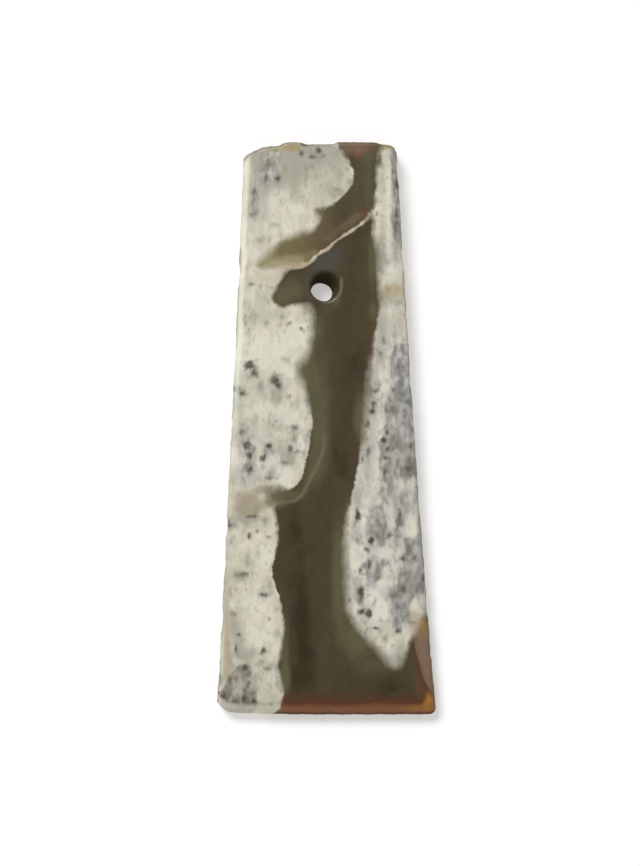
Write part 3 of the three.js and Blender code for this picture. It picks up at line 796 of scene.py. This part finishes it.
        (6, -42, 2.4, 14, 0.8), (5.4, -45, 2.5, 16, 0.9), (7.5, -57, 2, 5, 0.6), (30, -60, 3, 3, 0.6),
        (28.5, -61, 3, 5, 0.6), (10, -65, 4, 5, 1.1), (27.2, -69, 1.6, 6, 0.8), (16, -71, 5, 4, 1.7),
        (-13.8, -72, 2, 10, 0.6), (20, -74, 4, 3.4, 1.6), (22.4, -75, 3, 2.4, 0.8),
    ),
}

# How far patches that lie over each other can add up
patchLimit = 1.4
greyLimit = 2.2

# The darkest flecks, given like the patches
flecks = (
    # towards the butt
    (-6.7, 88.9, 1.1, 0.5, 1), (21.8, 88, 0.7, 1.2, 0.8), (-2.5, 87, 0.8, 1, 1.1),
    (-7.6, 86, 0.8, 1.1, 1), (-0.8, 85.4, 0.9, 0.7, 0.7), (-25.6, 85.2, 0.5, 1.2, 0.6),
    (-4.2, 85, 1.4, 0.7, 0.8), (-14.9, 84.6, 1.3, 0.8, 0.6), (16.6, 84, 0.9, 1.7, 0.8),
    (-17.9, 83.3, 0.8, 1.6, 0.7), (-4.2, 81.6, 1, 0.8, 0.5), (7, 81.4, 1, 0.5, 0.5),
    (-18.8, 78.6, 0.8, 1.5, 1), (-15.1, 78.2, 0.9, 0.9, 0.9), (21.9, 77.5, 0.6, 3.6, 0.8),
    (3.4, 74.9, 1.1, 0.7, 0.5), (-22.5, 73.6, 1, 1.9, 0.6), (15.6, 71.3, 0.9, 1.4, 0.7),
    (-25.8, 67.6, 0.4, 0.9, 0.9), (15.8, 67.2, 0.5, 0.7, 0.8), (-23.2, 67, 1, 0.9, 0.6),
    (22.1, 65.5, 0.7, 3.4, 0.9), (-14.8, 63.8, 1, 0.8, 0.5), (19, 52, 0.8, 1.2, 0.5),
    # left of the band
    (-22.2, 44.9, 1.8, 0.5, 0.5), (-16.8, 44, 1.2, 0.5, 0.4), (-23.3, 35.2, 1.4, 1.2, 0.5),
    (-19.6, 33.4, 1.2, 0.8, 0.5), (-11.4, 32.9, 0.7, 0.6, 0.9), (-8.1, 31.3, 0.7, 0.6, 0.8),
    (-13.6, 22.1, 1, 0.6, 0.6), (-23.9, 19.8, 1.3, 1.1, 1.2), (-22.4, 17.4, 0.9, 1.2, 1),
    (-15.9, 15, 1.2, 1.3, 1.1), (-15, 13.4, 0.9, 1.3, 1.1), (-20.7, 13, 1.2, 1.2, 0.5),
    (-28, 12.2, 1.2, 0.9, 1.2), (-26.4, 10.9, 1.3, 0.6, 1), (-25.5, 10.6, 0.9, 0.8, 0.8),
    (-11.9, 9.8, 1.3, 0.9, 0.5), (-29, 7.4, 0.4, 1.6, 0.7), (-15.5, 2.2, 0.9, 0.8, 0.6),
    (-9.9, 0.2, 1.3, 0.9, 0.8), (-26.1, -1.2, 1, 1.6, 0.7), (-10.3, -3.4, 0.8, 0.8, 0.5),
    (-24.8, -5.3, 1, 1.2, 1.2), (-18.1, -5.5, 1, 0.9, 1.2), (-11.1, -6.7, 0.7, 1.1, 1),
    (-16.8, -6.9, 1, 0.8, 0.7), (-9.4, -7.4, 1.4, 0.5, 0.6), (-23.9, -8, 0.9, 1.2, 1.1),
    (-19.8, -9.4, 0.7, 1.2, 1), (-12.7, -10.9, 1.3, 0.8, 0.9), (-24.3, -12.7, 1.4, 2.1, 0.8),
    (-14.6, -14.4, 0.8, 0.6, 0.5), (-17.9, -15.5, 1.1, 0.8, 0.7),
    # left of it, towards the cutting edge
    (-23.2, -27.6, 2, 0.5, 0.9), (-30.4, -30, 0.8, 1.4, 0.8), (-21.6, -32.2, 0.7, 0.6, 0.7),
    (-24.1, -33.5, 0.6, 1.3, 0.9), (-18.4, -34, 1, 0.4, 0.5), (-26, -45.8, 2, 0.8, 1),
    (-19.3, -52.1, 1.2, 0.7, 1.1), (-29.4, -58.4, 1.1, 1.1, 0.9), (-17.9, -60.2, 0.8, 1, 0.5),
    (-27.7, -64.6, 1, 0.6, 0.8), (-28.2, -68.9, 0.6, 1.1, 0.9), (-19.7, -69.8, 0.8, 1.1, 0.9),
    (-25.5, -75.2, 1, 1.1, 0.95), (-18.7, -75.2, 0.8, 0.8, 0.7), (-30.4, -79, 0.6, 1.2, 0.7),
    (-23, -82, 0.6, 2, 0.6), (-17.8, -82.6, 0.8, 0.9, 0.5), (-32.2, -84.4, 1.1, 1.9, 1.1),
    (-25.8, -84.6, 0.9, 1.4, 1), (-29.4, -86.4, 1.2, 1.2, 0.8), (-22.5, -86.8, 0.8, 2, 1.1),
    (-19.5, -86.8, 0.7, 0.5, 0.6), (-17.3, -86.8, 0.6, 0.5, 0.7),
    # right of the band
    (20.9, 35.6, 0.6, 1, 0.6), (21.4, 32.4, 0.8, 0.7, 0.5), (17.8, 27.2, 0.8, 1.2, 0.8),
    (23.9, 24, 0.6, 2.4, 0.8), (17.3, 23.2, 0.9, 1.2, 0.8), (22.8, 19.8, 1, 2.4, 0.7),
    (21.1, 12.2, 0.5, 1.2, 1), (15.8, 11.7, 0.9, 0.8, 1), (14.7, 7.8, 0.8, 1, 0.9),
    (20.2, 7.4, 1.2, 2.2, 0.8), (24.2, 5.6, 0.6, 1, 0.6), (14.6, 5.4, 0.9, 0.9, 1.2),
    (13, 1.4, 0.8, 1.2, 0.9),
    # right of it, towards the cutting edge
    (19.1, -1.3, 0.5, 0.7, 1), (17.9, -3.6, 0.8, 0.7, 1.2), (26.3, -5.9, 0.7, 1, 0.9),
    (19.1, -6.6, 0.8, 1.1, 1), (13, -7.4, 0.8, 1.4, 0.8), (18.8, -9.2, 1, 0.7, 0.9),
    (11.4, -9.9, 0.6, 0.9, 0.7), (26, -13.1, 1.6, 2.2, 0.8), (21.5, -13.5, 0.7, 0.8, 0.8),
    (18.3, -13.9, 0.5, 1.3, 1), (17.4, -18.5, 0.6, 1.3, 0.6), (9.9, -27.1, 0.7, 1.7, 1.2),
    (22.9, -28.6, 0.8, 2.8, 0.9), (16.6, -29.5, 1.8, 2, 0.5), (19.9, -33.5, 1, 0.8, 0.9),
    (9.7, -34.8, 0.5, 1, 0.6), (14.1, -35.3, 0.8, 1.2, 1.3), (12.6, -37.8, 0.6, 0.7, 1),
    (27.3, -40.2, 1.3, 1, 0.9), (24.2, -40.8, 1.4, 1.2, 0.8), (13.6, -42.4, 0.7, 1.4, 1),
    (10.7, -44.5, 0.6, 1.1, 0.8), (24, -46, 1.6, 0.8, 0.7), (15.4, -46.4, 1.4, 1.6, 0.5),
    (30.4, -48.2, 0.6, 2.4, 0.9), (24.4, -50.4, 1.2, 1.6, 0.7), (10.9, -51.9, 0.8, 2.4, 1.3),
    (7.3, -53.5, 0.5, 0.8, 0.6), (11.2, -57.3, 1, 0.8, 1.3), (13.4, -58, 0.8, 1.4, 1.3),
    (25.6, -60.6, 2, 0.5, 0.7), (15.3, -62.6, 1.6, 0.4, 0.9), (22.5, -63.5, 0.8, 0.8, 1),
)


def rounded(points, closed, parts=5):
    # A smooth line through the points
    points = np.array(points, float)
    count = len(points)
    if closed:
        around = [points[(i + k) % count] for i in range(count) for k in (-1, 0, 1, 2)]
    else:
        ends = [points[0], *points, points[-1]]
        around = [ends[i + k] for i in range(count - 1) for k in range(4)]
    around = np.array(around).reshape(-1, 4, 2)
    t = np.linspace(0, 1, parts, endpoint=False)[None, :, None]
    a, b, c, d = (around[:, k][:, None] for k in range(4))
    bend = (2 * a - 5 * b + 4 * c - d) * t ** 2 + (3 * b - a - 3 * c + d) * t ** 3
    line = (0.5 * (2 * b + (c - a) * t + bend)).reshape(-1, 2)
    return line if closed else np.vstack((line, points[-1:]))


def besideLine(places, line):
    # Distance to a line, above nought on its left, and how far along it (0 to 1) the nearest point is
    best = np.full(len(places), 1e9)
    side = np.ones(len(places))
    along = np.zeros(len(places))
    lengths = np.hypot(*np.diff(line, axis=0).T)
    before = np.concatenate(([0], np.cumsum(lengths)))
    for i, (start, end) in enumerate(zip(line[:-1], line[1:])):
        step = end - start
        away = places - start
        t = np.clip(away @ step / (step @ step), 0, 1)
        distance = np.hypot(*(away - t[:, None] * step).T)
        nearer = distance < best
        best[nearer] = distance[nearer]
        side[nearer] = np.sign(step[0] * away[:, 1] - step[1] * away[:, 0])[nearer]
        along[nearer] = ((before[i] + t * lengths[i]) / before[-1])[nearer]
    return best * side, along


def insideOutline(places, outline):
    # Distance to a closed outline, above nought inside it
    loop = rounded(outline, True)
    loop = np.vstack((loop, loop[:1]))
    distance = np.abs(besideLine(places, loop)[0])
    x, y = places.T
    inside = np.zeros(len(places), bool)
    for (x0, y0), (x1, y1) in zip(loop[:-1], loop[1:]):
        if y0 != y1:
            crosses = (y0 > y) != (y1 > y)
            inside ^= crosses & (x < x0 + (y - y0) * (x1 - x0) / (y1 - y0))
    return np.where(inside, distance, -distance)


def patchField(places, group, limit):
    field = np.zeros(len(places))
    for x, y, halfWidth, halfHeight, strength in group:
        apart = ((places[:, 0] - x) / halfWidth) ** 2 + ((places[:, 1] - y) / halfHeight) ** 2
        field += strength * np.exp(-0.75 * apart)
    return np.minimum(field, limit)


def fleckField(places):
    field = np.zeros(len(places))
    for x, y, halfWidth, halfHeight, strength in flecks:
        apart = np.hypot((places[:, 0] - x) / halfWidth, (places[:, 1] - y) / halfHeight)
        field = np.maximum(field, strength * np.exp(-0.5 * apart ** 2))
    return field


# Markings, a painted highlight and painted shade along the borders and in the hole: where each starts
# and where it is full, then, for those with four places, where it starts to fade and where it ends
borders = {
    "highlightSpan": (0, 0.9, 1.6, 2.7),
    "highlightSpanY": (-25, 25),
    "line": (0.4, 0.8),
    "lineY": (22, 34, 48, 62),
    "dirtAndShadeWidth": 1.1,
    "leftSteepness": 1.6,
    "boreWidth": 0.7,
    "boreZ": (0.1, 1.9),
}


def risen(value, start, full):
    return smooth((value - start) / (full - start))


def within(value, start, full, fade, end):
    return risen(value, start, full) * (1 - risen(value, fade, end))


def paintMarkings(mesh):
    co = np.empty(len(mesh.vertices) * 3)
    mesh.vertices.foreach_get("co", co)
    x, y, z = (co.reshape(-1, 3) / mm).T
    full = blade["fullThickness"]
    depth = (full - z) / full
    drift = smooth((depth - lean["from"]) / lean["over"])
    places = np.column_stack((
        x + drift * (lean["x"] + lean["swayX"] * np.sin(y / 9)),
        y + drift * (lean["y"] + lean["swayY"] * np.sin(x / 7 + y / 21)),
    ))
    fields = {
        "darkBand": insideOutline(places, darkBand),
        "darkBranch": insideOutline(places, darkBranch),
        "corner": insideOutline(places, cornerPatch),
        "fleck": fleckField(places),
    }
    for name, group in patches.items():
        fields[name] = patchField(places, group, greyLimit if name == "grey" else patchLimit)
    for name, line in (("vein", veinLine), ("thread", threadLine), ("facet", facetLine)):
        beside, along = besideLine(places, rounded(line, False))
        fields[name] = beside
        fields[f"{name}Run"] = within(along, 0, 0.06, 0.8, 1)
    fields["fromEdge"] = y - edgeLine(x)
    fields["fromButt"] = buttLine(x) - y
    # Along the left side: a painted highlight on the wide bevel, and a painted shade line outside it
    fromLeft = x - leftSide(y)
    upper = smooth(1 - depth * 2.5)
    fields["leftHighlight"] = upper * within(fromLeft, *borders["highlightSpan"]) * risen(y, *borders["highlightSpanY"])
    fields["leftShadeLine"] = upper * within(y, *borders["lineY"]) * (1 - risen(fromLeft, *borders["line"]))
    # Darker towards the borders: dirt at the butt, painted shade along the sides
    fromBorder = np.minimum.reduce((
        fromLeft * borders["leftSteepness"], fields["fromButt"], rightSide(y) - x,
    ))
    fields["border"] = 1 - risen(fromBorder, 0, borders["dirtAndShadeWidth"])
    boreX = hole["x"] + hole["shiftX"] * depth
    boreY = hole["y"] + hole["shiftY"] * depth
    fromBore = np.hypot(x - boreX, y - boreY)
    belowRim = risen(full - z, *borders["boreZ"])
    fields["bore"] = risen(hole["rimRadius"] - fromBore, 0, borders["boreWidth"]) * belowRim
    for name, values in fields.items():
        attribute = mesh.attributes.new(name, "FLOAT", "POINT")
        attribute.data.foreach_set("value", values.astype(np.float32))


# How polished the stone is, and how high its grain stands in millimetres
polish = {
    "sheen": 0.016,
    "specular": 0.32,
    "ior": 1.5,
    "roughness": 0.45,
    "darkRoughness": -0.1,
    "mottleRoughness": 0.2,
    "boreRoughness": 0.95,
    "grainHeight": 0.03,
    "mottleHeight": 0.06,
    "fleckHeight": -0.03,
}

# The stone's noises: size in millimetres, detail, stretch along the blade, offset, roughness
stoneGrain = {
    "broad": (15, 2, 1.3, 0, 0.55),
    "cloud": (5.5, 3, 1.5, 3, 0.5),
    "mottle": (2.6, 3, 1.8, 7, 0.5),
    "speck": (1.5, 3, 1.5, 11, 0.5),
    "fine": (0.7, 3, 1.2, 5, 0.55),
    "ragged": (2.6, 5, 1.2, 14, 0.62),
    "along": (5.0, 2, 4.0, 17, 0.5),
    "streak": (2.8, 3, 2.6, 6, 0.5),
    "web": (6.0, 2, 1.6, 21, 0.5),
}

# Tones as they look in the room's light, 0 to 255. The polish adds its own sheen, so that is taken off.
stoneTones = {
    "cream": (220, 214, 196),
    "pale": (202, 197, 178),
    "green": (188, 189, 165),
    "dull": (162, 159, 144),
    "bright": (224, 219, 203),
    # painted highlight on the left bevel
    "highlight": (236, 235, 216),
    "tan": (180, 166, 138),
    "ochre": (170, 146, 98),
    "ochreDark": (142, 116, 74),
    # painted light near the cutting edge
    "edgePaintedLight": (246, 240, 218),
    "coolPale": (201, 200, 191),
    "coolLight": (187, 185, 178),
    "coolGrey": (138, 137, 130),
    "coolDark": (96, 96, 89),
    "web": (207, 204, 198),
    "cornerLight": (174, 167, 158),
    "cornerGrey": (130, 126, 112),
    "cornerDark": (92, 88, 70),
    "smudge": (142, 139, 127),
    "fleck": (80, 78, 66),
    "dark": (74, 67, 52),
    "deep": (56, 51, 37),
    "darkOlive": (98, 94, 70),
    # painted bluish sheen
    "sheen": (80, 80, 74),
    "brown": (80, 71, 54),
    "branch": (86, 78, 58),
    "branchGreen": (90, 90, 68),
    "branchBrown": (110, 97, 72),
    "branchOlive": (118, 109, 77),
    "branchTip": (150, 143, 106),
    "tongue": (112, 106, 84),
    "vein": (180, 153, 125),
    "thread": (118, 111, 91),
    "russet": (116, 78, 52),
    "edgeShade": (84, 58, 42),
    "edgeRed": (98, 63, 45),
    # painted glow through the thin edge, made lighter for the bevel's shade; painted shadow along the
    # very edge
    "edgeRussetGlow": (146, 101, 72),
    "edgePaintedShadow": (80, 54, 36),
    "facetOchre": (142, 120, 84),
    "facetBrown": (129, 108, 91),
    "facetDark": (88, 64, 48),
    "orange": (168, 118, 62),
    "smear": (162, 152, 129),
    # painted highlight on the hole's rim
    "rimLight": (124, 117, 98),
    "pink": (128, 106, 86),
    # dirt at the butt, and painted shade along the sides and the left bevel
    "dirtAndShade": (112, 100, 78),
    "bore": (70, 66, 46),
}


def tone(name):
    parts = (c / 255 for c in stoneTones[name])
    linear = [c / 12.92 if c <= 0.04045 else ((c + 0.055) / 1.055) ** 2.4 for c in parts]
    return (*(max(c - polish["sheen"], 0.003) for c in linear), 1)


def makeStone():
    stone = bpy.data.materials.new("mottled_jade")
    stone.use_nodes = True
    tree = stone.node_tree
    tree.nodes.clear()
    objectPlace = makeNode(tree, "ShaderNodeTexCoord").outputs["Object"]

    def field(name):
        return makeNode(tree, "ShaderNodeAttribute", attribute_name=name).outputs["Fac"]

    def noise(name):
        # A swing about nought
        size, detail, stretch, start, roughness = stoneGrain[name]
        scale = (1 / mm / size, 1 / mm / size / stretch, 1 / mm / size)
        inputs = {"Vector": objectPlace, "Scale": scale, "Location": (start, start * 0.7, start * 1.3)}
        place = makeNode(tree, "ShaderNodeMapping", inputs).outputs[0]
        inputs = {"Vector": place, "Scale": 1.0, "Detail": detail, "Roughness": roughness}
        return mathOf(tree, "SUBTRACT", makeNode(tree, "ShaderNodeTexNoise", inputs).outputs[0], 0.5)

    def ramp(value, start, end):
        return rampOf(tree, value, start, end)

    def times(a, b):
        return mathOf(tree, "MULTIPLY", a, b)

    def stirred(value, swing, amount):
        return mathOf(tree, "MULTIPLY_ADD", swing, amount, value)

    def blend(factor, under, over, mode="MIX"):
        node = makeNode(tree, "ShaderNodeMix", data_type="RGBA", blend_type=mode)
        for socket, value in ((0, factor), (6, under), (7, over)):
            if isinstance(value, bpy.types.NodeSocket):
                tree.links.new(value, node.inputs[socket])
            else:
                node.inputs[socket].default_value = tone(value) if isinstance(value, str) else value
        return node.outputs[2]

    def wash(under, over, strength, name, swing=0.0, amount=0.0, start=0.1, end=1.0):
        # One tone over another where a field rises, with its border frayed by a noise
        shape = ramp(stirred(field(name), swing, amount), start, end)
        return blend(times(shape, strength), under, over)

    def lineShape(name, amount, width):
        # How near a line is, narrowing at its ends
        apart = mathOf(tree, "ABSOLUTE", stirred(field(name), ragged, amount))
        return times(ramp(apart, width, 0.0), field(f"{name}Run"))

    place = makeNode(tree, "ShaderNodeSeparateXYZ", {0: objectPlace}).outputs
    broad = noise("broad")
    cloud = noise("cloud")
    mottle = noise("mottle")
    speck = noise("speck")
    grain = noise("fine")
    ragged = noise("ragged")
    grainAlong = noise("along")

    def paleGround():
        # The pale stone and its stains
        swirl = stirred(stirred(times(broad, 0.7), cloud, 0.9), mottle, 0.9)
        pale = blend(ramp(swirl, -0.3, -0.02), "dull", "pale")
        pale = blend(ramp(swirl, -0.04, 0.2), pale, "cream")
        pale = wash(pale, "green", 0.7, "green", cloud, 1.0)
        pale = wash(pale, "dull", 0.8, "shade", mottle, 1.2, end=1.1)
        pale = wash(pale, "bright", 0.85, "bright", mottle, 1.2)
        coolHere = stirred(field("cool"), field("bright"), -0.5)
        pale = blend(times(ramp(coolHere, 0.1, 1.0), 0.6), pale, "coolPale")
        pale = wash(pale, "tan", 0.85, "tan", cloud, 1.0, start=0.05)
        pale = wash(pale, "smear", 0.85, "smear", mottle, 1.0, start=0.05)
        pale = wash(pale, "ochre", 0.7, "ochre", mottle, 1.0, start=0.15)
        return pale

    def marbled(pale):
        # Cool grey marbling with a pale web
        streak = stirred(noise("streak"), speck, 0.4)
        greyHere = stirred(field("grey"), field("bright"), -0.7)
        marbling = stirred(streak, ramp(greyHere, 0.2, 1.9), 0.16)
        marble = blend(ramp(marbling, -0.1, 0.08), "coolLight", "coolGrey")
        marble = blend(ramp(marbling, 0.08, 0.26), marble, "coolDark")
        webLine = mathOf(tree, "ABSOLUTE", noise("web"))
        marble = blend(times(ramp(webLine, 0.11, 0.0), 0.4), marble, "web")
        greyMask = times(ramp(stirred(greyHere, mottle, 1.4), 0.05, 0.8), 0.92)
        pale = blend(greyMask, pale, marble)
        trace = times(times(ramp(streak, -0.02, 0.2), ramp(field("cool"), 0.1, 1.0)), 0.4)
        return blend(trace, pale, "coolGrey")

    def withCorner(pale):
        # A darker grey patch at the left corner of the cutting edge
        corner = blend(ramp(stirred(cloud, mottle, 0.8), -0.16, 0.06), "cornerLight", "cornerGrey")
        lowDown = stirred(stirred(times(mottle, 1.3), speck, 1.6), place["Y"], -25)
        corner = blend(ramp(lowDown, 1.85, 2.45), corner, "cornerDark")
        cornerMask = ramp(stirred(field("corner"), ragged, 2.0), -0.5, 0.6)
        return blend(times(cornerMask, 0.95), pale, corner)

    def flecked(pale):
        # Dark flecks, the large ones in their places and fine ones between
        fleckShape = stirred(stirred(stirred(field("fleck"), speck, 1.3), ragged, 1.0), grain, 0.3)
        pale = blend(times(ramp(fleckShape, 0.1, 0.7), 0.5), pale, "smudge")
        fleckMask = times(ramp(fleckShape, 0.36, 1.1), 0.95)
        pale = blend(fleckMask, pale, "fleck")
        fine = ramp(stirred(speck, mottle, 1.0), 0.06, 0.44)
        pale = blend(times(fine, 0.5), pale, "smudge")
        # Lighter towards the cutting edge: painted light that evens out the bevel's shade
        pale = wash(pale, "edgePaintedLight", 0.55, "fromEdge", mottle, 0.8, 3.9, 1.9)
        # A painted highlight along the wide left bevel
        pale = blend(times(field("leftHighlight"), 0.7), pale, "highlight")
        return pale, fleckMask

    def bandStone():
        # The dark band, with its deeper and olive parts and a greyer, painted bluish sheen
        band = blend(ramp(stirred(grainAlong, cloud, 0.4), -0.2, 0.2), "dark", "brown")
        band = wash(band, "deep", 0.95, "deep", cloud, 1.8, end=1.1)
        band = wash(band, "darkOlive", 0.85, "olive", cloud, 0.8, end=1.1)
        band = wash(band, "sheen", 0.8, "sheen", cloud, 0.6, end=1.1)
        # A painted highlight on the hole's rim
        band = wash(band, "rimLight", 0.7, "rimLight")
        # Its lighter tongue at the left
        outward = ramp(place["X"], -10 * mm, -17 * mm)
        between = times(ramp(place["Y"], -26 * mm, -23.5 * mm), ramp(place["Y"], -14 * mm, -18 * mm))
        band = blend(times(times(outward, between), 0.9), band, "tongue")
        band = blend(times(lineShape("thread", 0.8, 1.1), 0.65), band, "thread")
        band = wash(band, "russet", 0.65, "russet", mottle, 0.6, 0.15, 1.2)
        return band

    def edgeReddened(band):
        # Reddish towards the cutting edge, and russet where it is ground thin: a painted glow through the
        # thin stone
        band = wash(band, "edgeShade", 0.85, "fromEdge", cloud, 5.0, 8.5, 3.5)
        band = wash(band, "edgeRed", 0.9, "fromEdge", mottle, 1.2, 5.6, 3.2)
        # The russet is made lighter where the bevel turns from the light, as painted light
        groundThin = stirred(stirred(field("fromEdge"), mottle, 0.8), broad, 3.0)
        band = blend(times(ramp(groundThin, 4.1, 1.8), 0.9), band, "edgeRussetGlow")
        # A painted shadow along the very edge
        band = wash(band, "edgePaintedShadow", 0.75, "fromEdge", mottle, 0.8, 0.9, 0.2)
        # The facet at the right corner, with a darker stretch of band beside it
        facetSide = times(ramp(field("facet"), -0.8, 1.0), field("facetRun"))
        alongFacet = ramp(stirred(place["Y"], cloud, 4 * mm), -62 * mm, -68 * mm)
        facetTone = blend(alongFacet, "facetOchre", "facetBrown")
        besideFacet = times(ramp(field("facet"), -3.0, 0.0), times(field("facetRun"), 0.8))
        band = blend(besideFacet, band, "facetDark")
        band = blend(times(facetSide, 0.9), band, facetTone)
        band = wash(band, "orange", 0.85, "orange", mottle, 0.8, 0.15, 1.3)
        band = wash(band, "ochreDark", 0.7, "ochre", mottle, 0.8, 0.15, 1.3)
        return band

    def branchStone():
        # The branch towards the butt, fading to olive
        branch = blend(ramp(stirred(grainAlong, cloud, 0.6), -0.2, 0.2), "branch", "brown")
        branch = wash(branch, "branchGreen", 0.8, "olive")
        towardTip = stirred(stirred(place["X"], cloud, 5 * mm), mottle, 4 * mm)
        lowPart = ramp(place["Y"], 74 * mm, 65 * mm)
        for start, end, strength, over in (
            (5, -5, 0.85, "branchBrown"),
            (-3, -13, 1.0, "branchOlive"),
            (-14, -21, 1.0, "branchTip"),
        ):
            share = times(times(ramp(towardTip, start * mm, end * mm), lowPart), strength)
            branch = blend(share, branch, over)
        branch = wash(branch, "branchTip", 0.9, "tipLight", mottle, 0.8, end=1.1)
        branch = wash(branch, "russet", 0.7, "russet", mottle, 0.6, end=1.2)
        branch = wash(branch, "pink", 0.6, "pink", mottle, 0.4)
        return branch

    # Branch and band over the pale stone, then the vein and the line round the facet
    pale, fleckMask = flecked(withCorner(marbled(paleGround())))
    blur = mathOf(tree, "MULTIPLY_ADD", field("blur"), 1.5, 0.3)
    branchMask = ramp(stirred(field("darkBranch"), ragged, 2.6), times(blur, -1), blur)
    bandMask = ramp(stirred(field("darkBand"), ragged, 2.2), times(blur, -1), blur)
    colour = blend(branchMask, pale, branchStone())
    colour = blend(bandMask, colour, edgeReddened(bandStone()))
    veinWidth = mathOf(tree, "MULTIPLY_ADD", field("veinRun"), 0.4, 0.1)
    colour = blend(times(lineShape("vein", 1.0, veinWidth), 0.7), colour, "vein")
    colour = blend(times(lineShape("facet", 0.0, 0.4), 0.15), colour, "vein")

    # Dirt and painted shade along the borders, the hole's dim wall, and the finest grain over everything
    colour = wash(colour, "dirtAndShade", 0.5, "border", speck, 1.4, 0.4, 1.1)
    colour = wash(colour, "dirtAndShade", 0.7, "fromButt", speck, 3.0, 2.0, 0.1)
    # A painted shade line outside the left bevel
    colour = blend(times(field("leftShadeLine"), 0.6), colour, "dirtAndShade")
    colour = blend(times(field("bore"), 0.92), colour, "bore")
    darker, lighter = ((grey, grey, grey, 1) for grey in (0.45, 0.55))
    fineTone = blend(ramp(stirred(grain, mottle, 0.5), -0.2, 0.2), darker, lighter)
    colour = blend(0.6, colour, fineTone, "SOFT_LIGHT")

    # The dark stone is a little glossier, and the hole's wall isn't polished
    darkness = mathOf(tree, "MAXIMUM", bandMask, branchMask)
    roughness = mathOf(tree, "MULTIPLY_ADD", darkness, polish["darkRoughness"], polish["roughness"])
    roughness = stirred(roughness, mottle, polish["mottleRoughness"])
    roughness = mathOf(tree, "MAXIMUM", roughness, times(field("bore"), polish["boreRoughness"]))
    height = stirred(times(grain, polish["grainHeight"]), mottle, polish["mottleHeight"])
    height = stirred(height, fleckMask, polish["fleckHeight"])
    bump = makeNode(tree, "ShaderNodeBump", {"Height": height, "Strength": 1.0, "Distance": mm})
    inputs = {"Base Color": colour, "Roughness": roughness, "Normal": bump.outputs[0]}
    surface = makeNode(tree, "ShaderNodeBsdfPrincipled", inputs)
    surface.inputs["IOR"].default_value = polish["ior"]
    surface.inputs["Specular IOR Level"].default_value = polish["specular"]
    makeNode(tree, "ShaderNodeOutputMaterial", {"Surface": surface.outputs[0]})
    return stone


print("building the blade's surface")
stone = makeStone()
wornMesh = wearDown(buildBladeMesh(), stone)
wornMesh.name = "axe_head_stone"
print("painting its markings")
paintMarkings(wornMesh)
axeHead = bpy.data.objects.new("axe_head_stone", wornMesh)
bpy.context.scene.collection.objects.link(axeHead)
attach(axeHead, "root")
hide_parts("axe_head")
print("blade faces:", len(wornMesh.polygons))

# Floor, light and camera
studio = {
    "floorSize": 6.0,
    "floorTone": (0.61, 0.613, 0.642, 1),
    "floorGlow": (0.42, 0.412, 0.388, 1),
    "skyLight": 0.4,
    "sunStrength": 2.7,
    "sunAngle": math.radians(26),
    "sunElevation": math.radians(44),
    "sunBearing": math.radians(119),
}


def makeFloor():
    half = studio["floorSize"] / 2
    corners = [(-half, -half), (half, -half), (half, half), (-half, half)]
    mesh = bpy.data.meshes.new("pale_floor")
    mesh.from_pydata([(x, y, -0.02 * mm) for x, y in corners], [], [(0, 1, 2, 3)])
    floor = bpy.data.objects.new("pale_floor", mesh)
    bpy.context.scene.collection.objects.link(floor)
    paper = bpy.data.materials.new("pale_floor")
    paper.use_nodes = True
    surface = paper.node_tree.nodes["Principled BSDF"]
    surface.inputs["Base Color"].default_value = studio["floorTone"]
    surface.inputs["Roughness"].default_value = 0.9
    surface.inputs["Specular IOR Level"].default_value = 0.0
    surface.inputs["Emission Color"].default_value = studio["floorGlow"]
    surface.inputs["Emission Strength"].default_value = 1.0
    mesh.materials.append(paper)


def makeLight():
    sun = bpy.data.lights.new("key", "SUN")
    sun.energy = studio["sunStrength"]
    sun.angle = studio["sunAngle"]
    lamp = bpy.data.objects.new("key", sun)
    lamp.rotation_euler = (math.pi / 2 - studio["sunElevation"], 0, studio["sunBearing"] + math.pi / 2)
    bpy.context.scene.collection.objects.link(lamp)
    world = bpy.data.worlds.new("soft white room")
    bpy.context.scene.world = world
    world.use_nodes = True
    tree = world.node_tree
    tree.nodes.clear()
    direct = makeNode(tree, "ShaderNodeLightPath").outputs["Is Camera Ray"]
    strength = mathOf(tree, "MULTIPLY_ADD", direct, 1 - studio["skyLight"], studio["skyLight"])
    sky = makeNode(tree, "ShaderNodeBackground", {"Color": (1, 1, 1, 1), "Strength": strength})
    makeNode(tree, "ShaderNodeOutputWorld", {"Surface": sky.outputs[0]})


# The camera looks straight down on the blade, as far off as its view needs to take in the frame
view = {
    "lens": 100.0,
    "film": 36.0,
    "frameHeight": 271.2,
    "aside": (-2.05, -1.42),
    "belowTop": 0.5,
}


def makeCamera():
    data = bpy.data.cameras.new("camera")
    data.lens = view["lens"]
    data.sensor_width = view["film"]
    data.clip_start = 0.01
    data.clip_end = 100
    camera = bpy.data.objects.new("camera", data)
    distance = view["frameHeight"] * view["lens"] / view["film"]
    boundsLow, boundsHigh = (Vector(corner) / mm for corner in cadBounds)
    middle = (boundsLow + boundsHigh) / 2
    asideX, asideY = view["aside"]
    height = boundsHigh.z - view["belowTop"] + distance
    camera.location = Vector((middle.x + asideX, middle.y + asideY, height)) * mm
    bpy.context.scene.collection.objects.link(camera)
    bpy.context.scene.camera = camera


print("setting the floor, light and camera")
makeFloor()
makeLight()
makeCamera()
bpy.context.scene.view_settings.view_transform = "Standard"
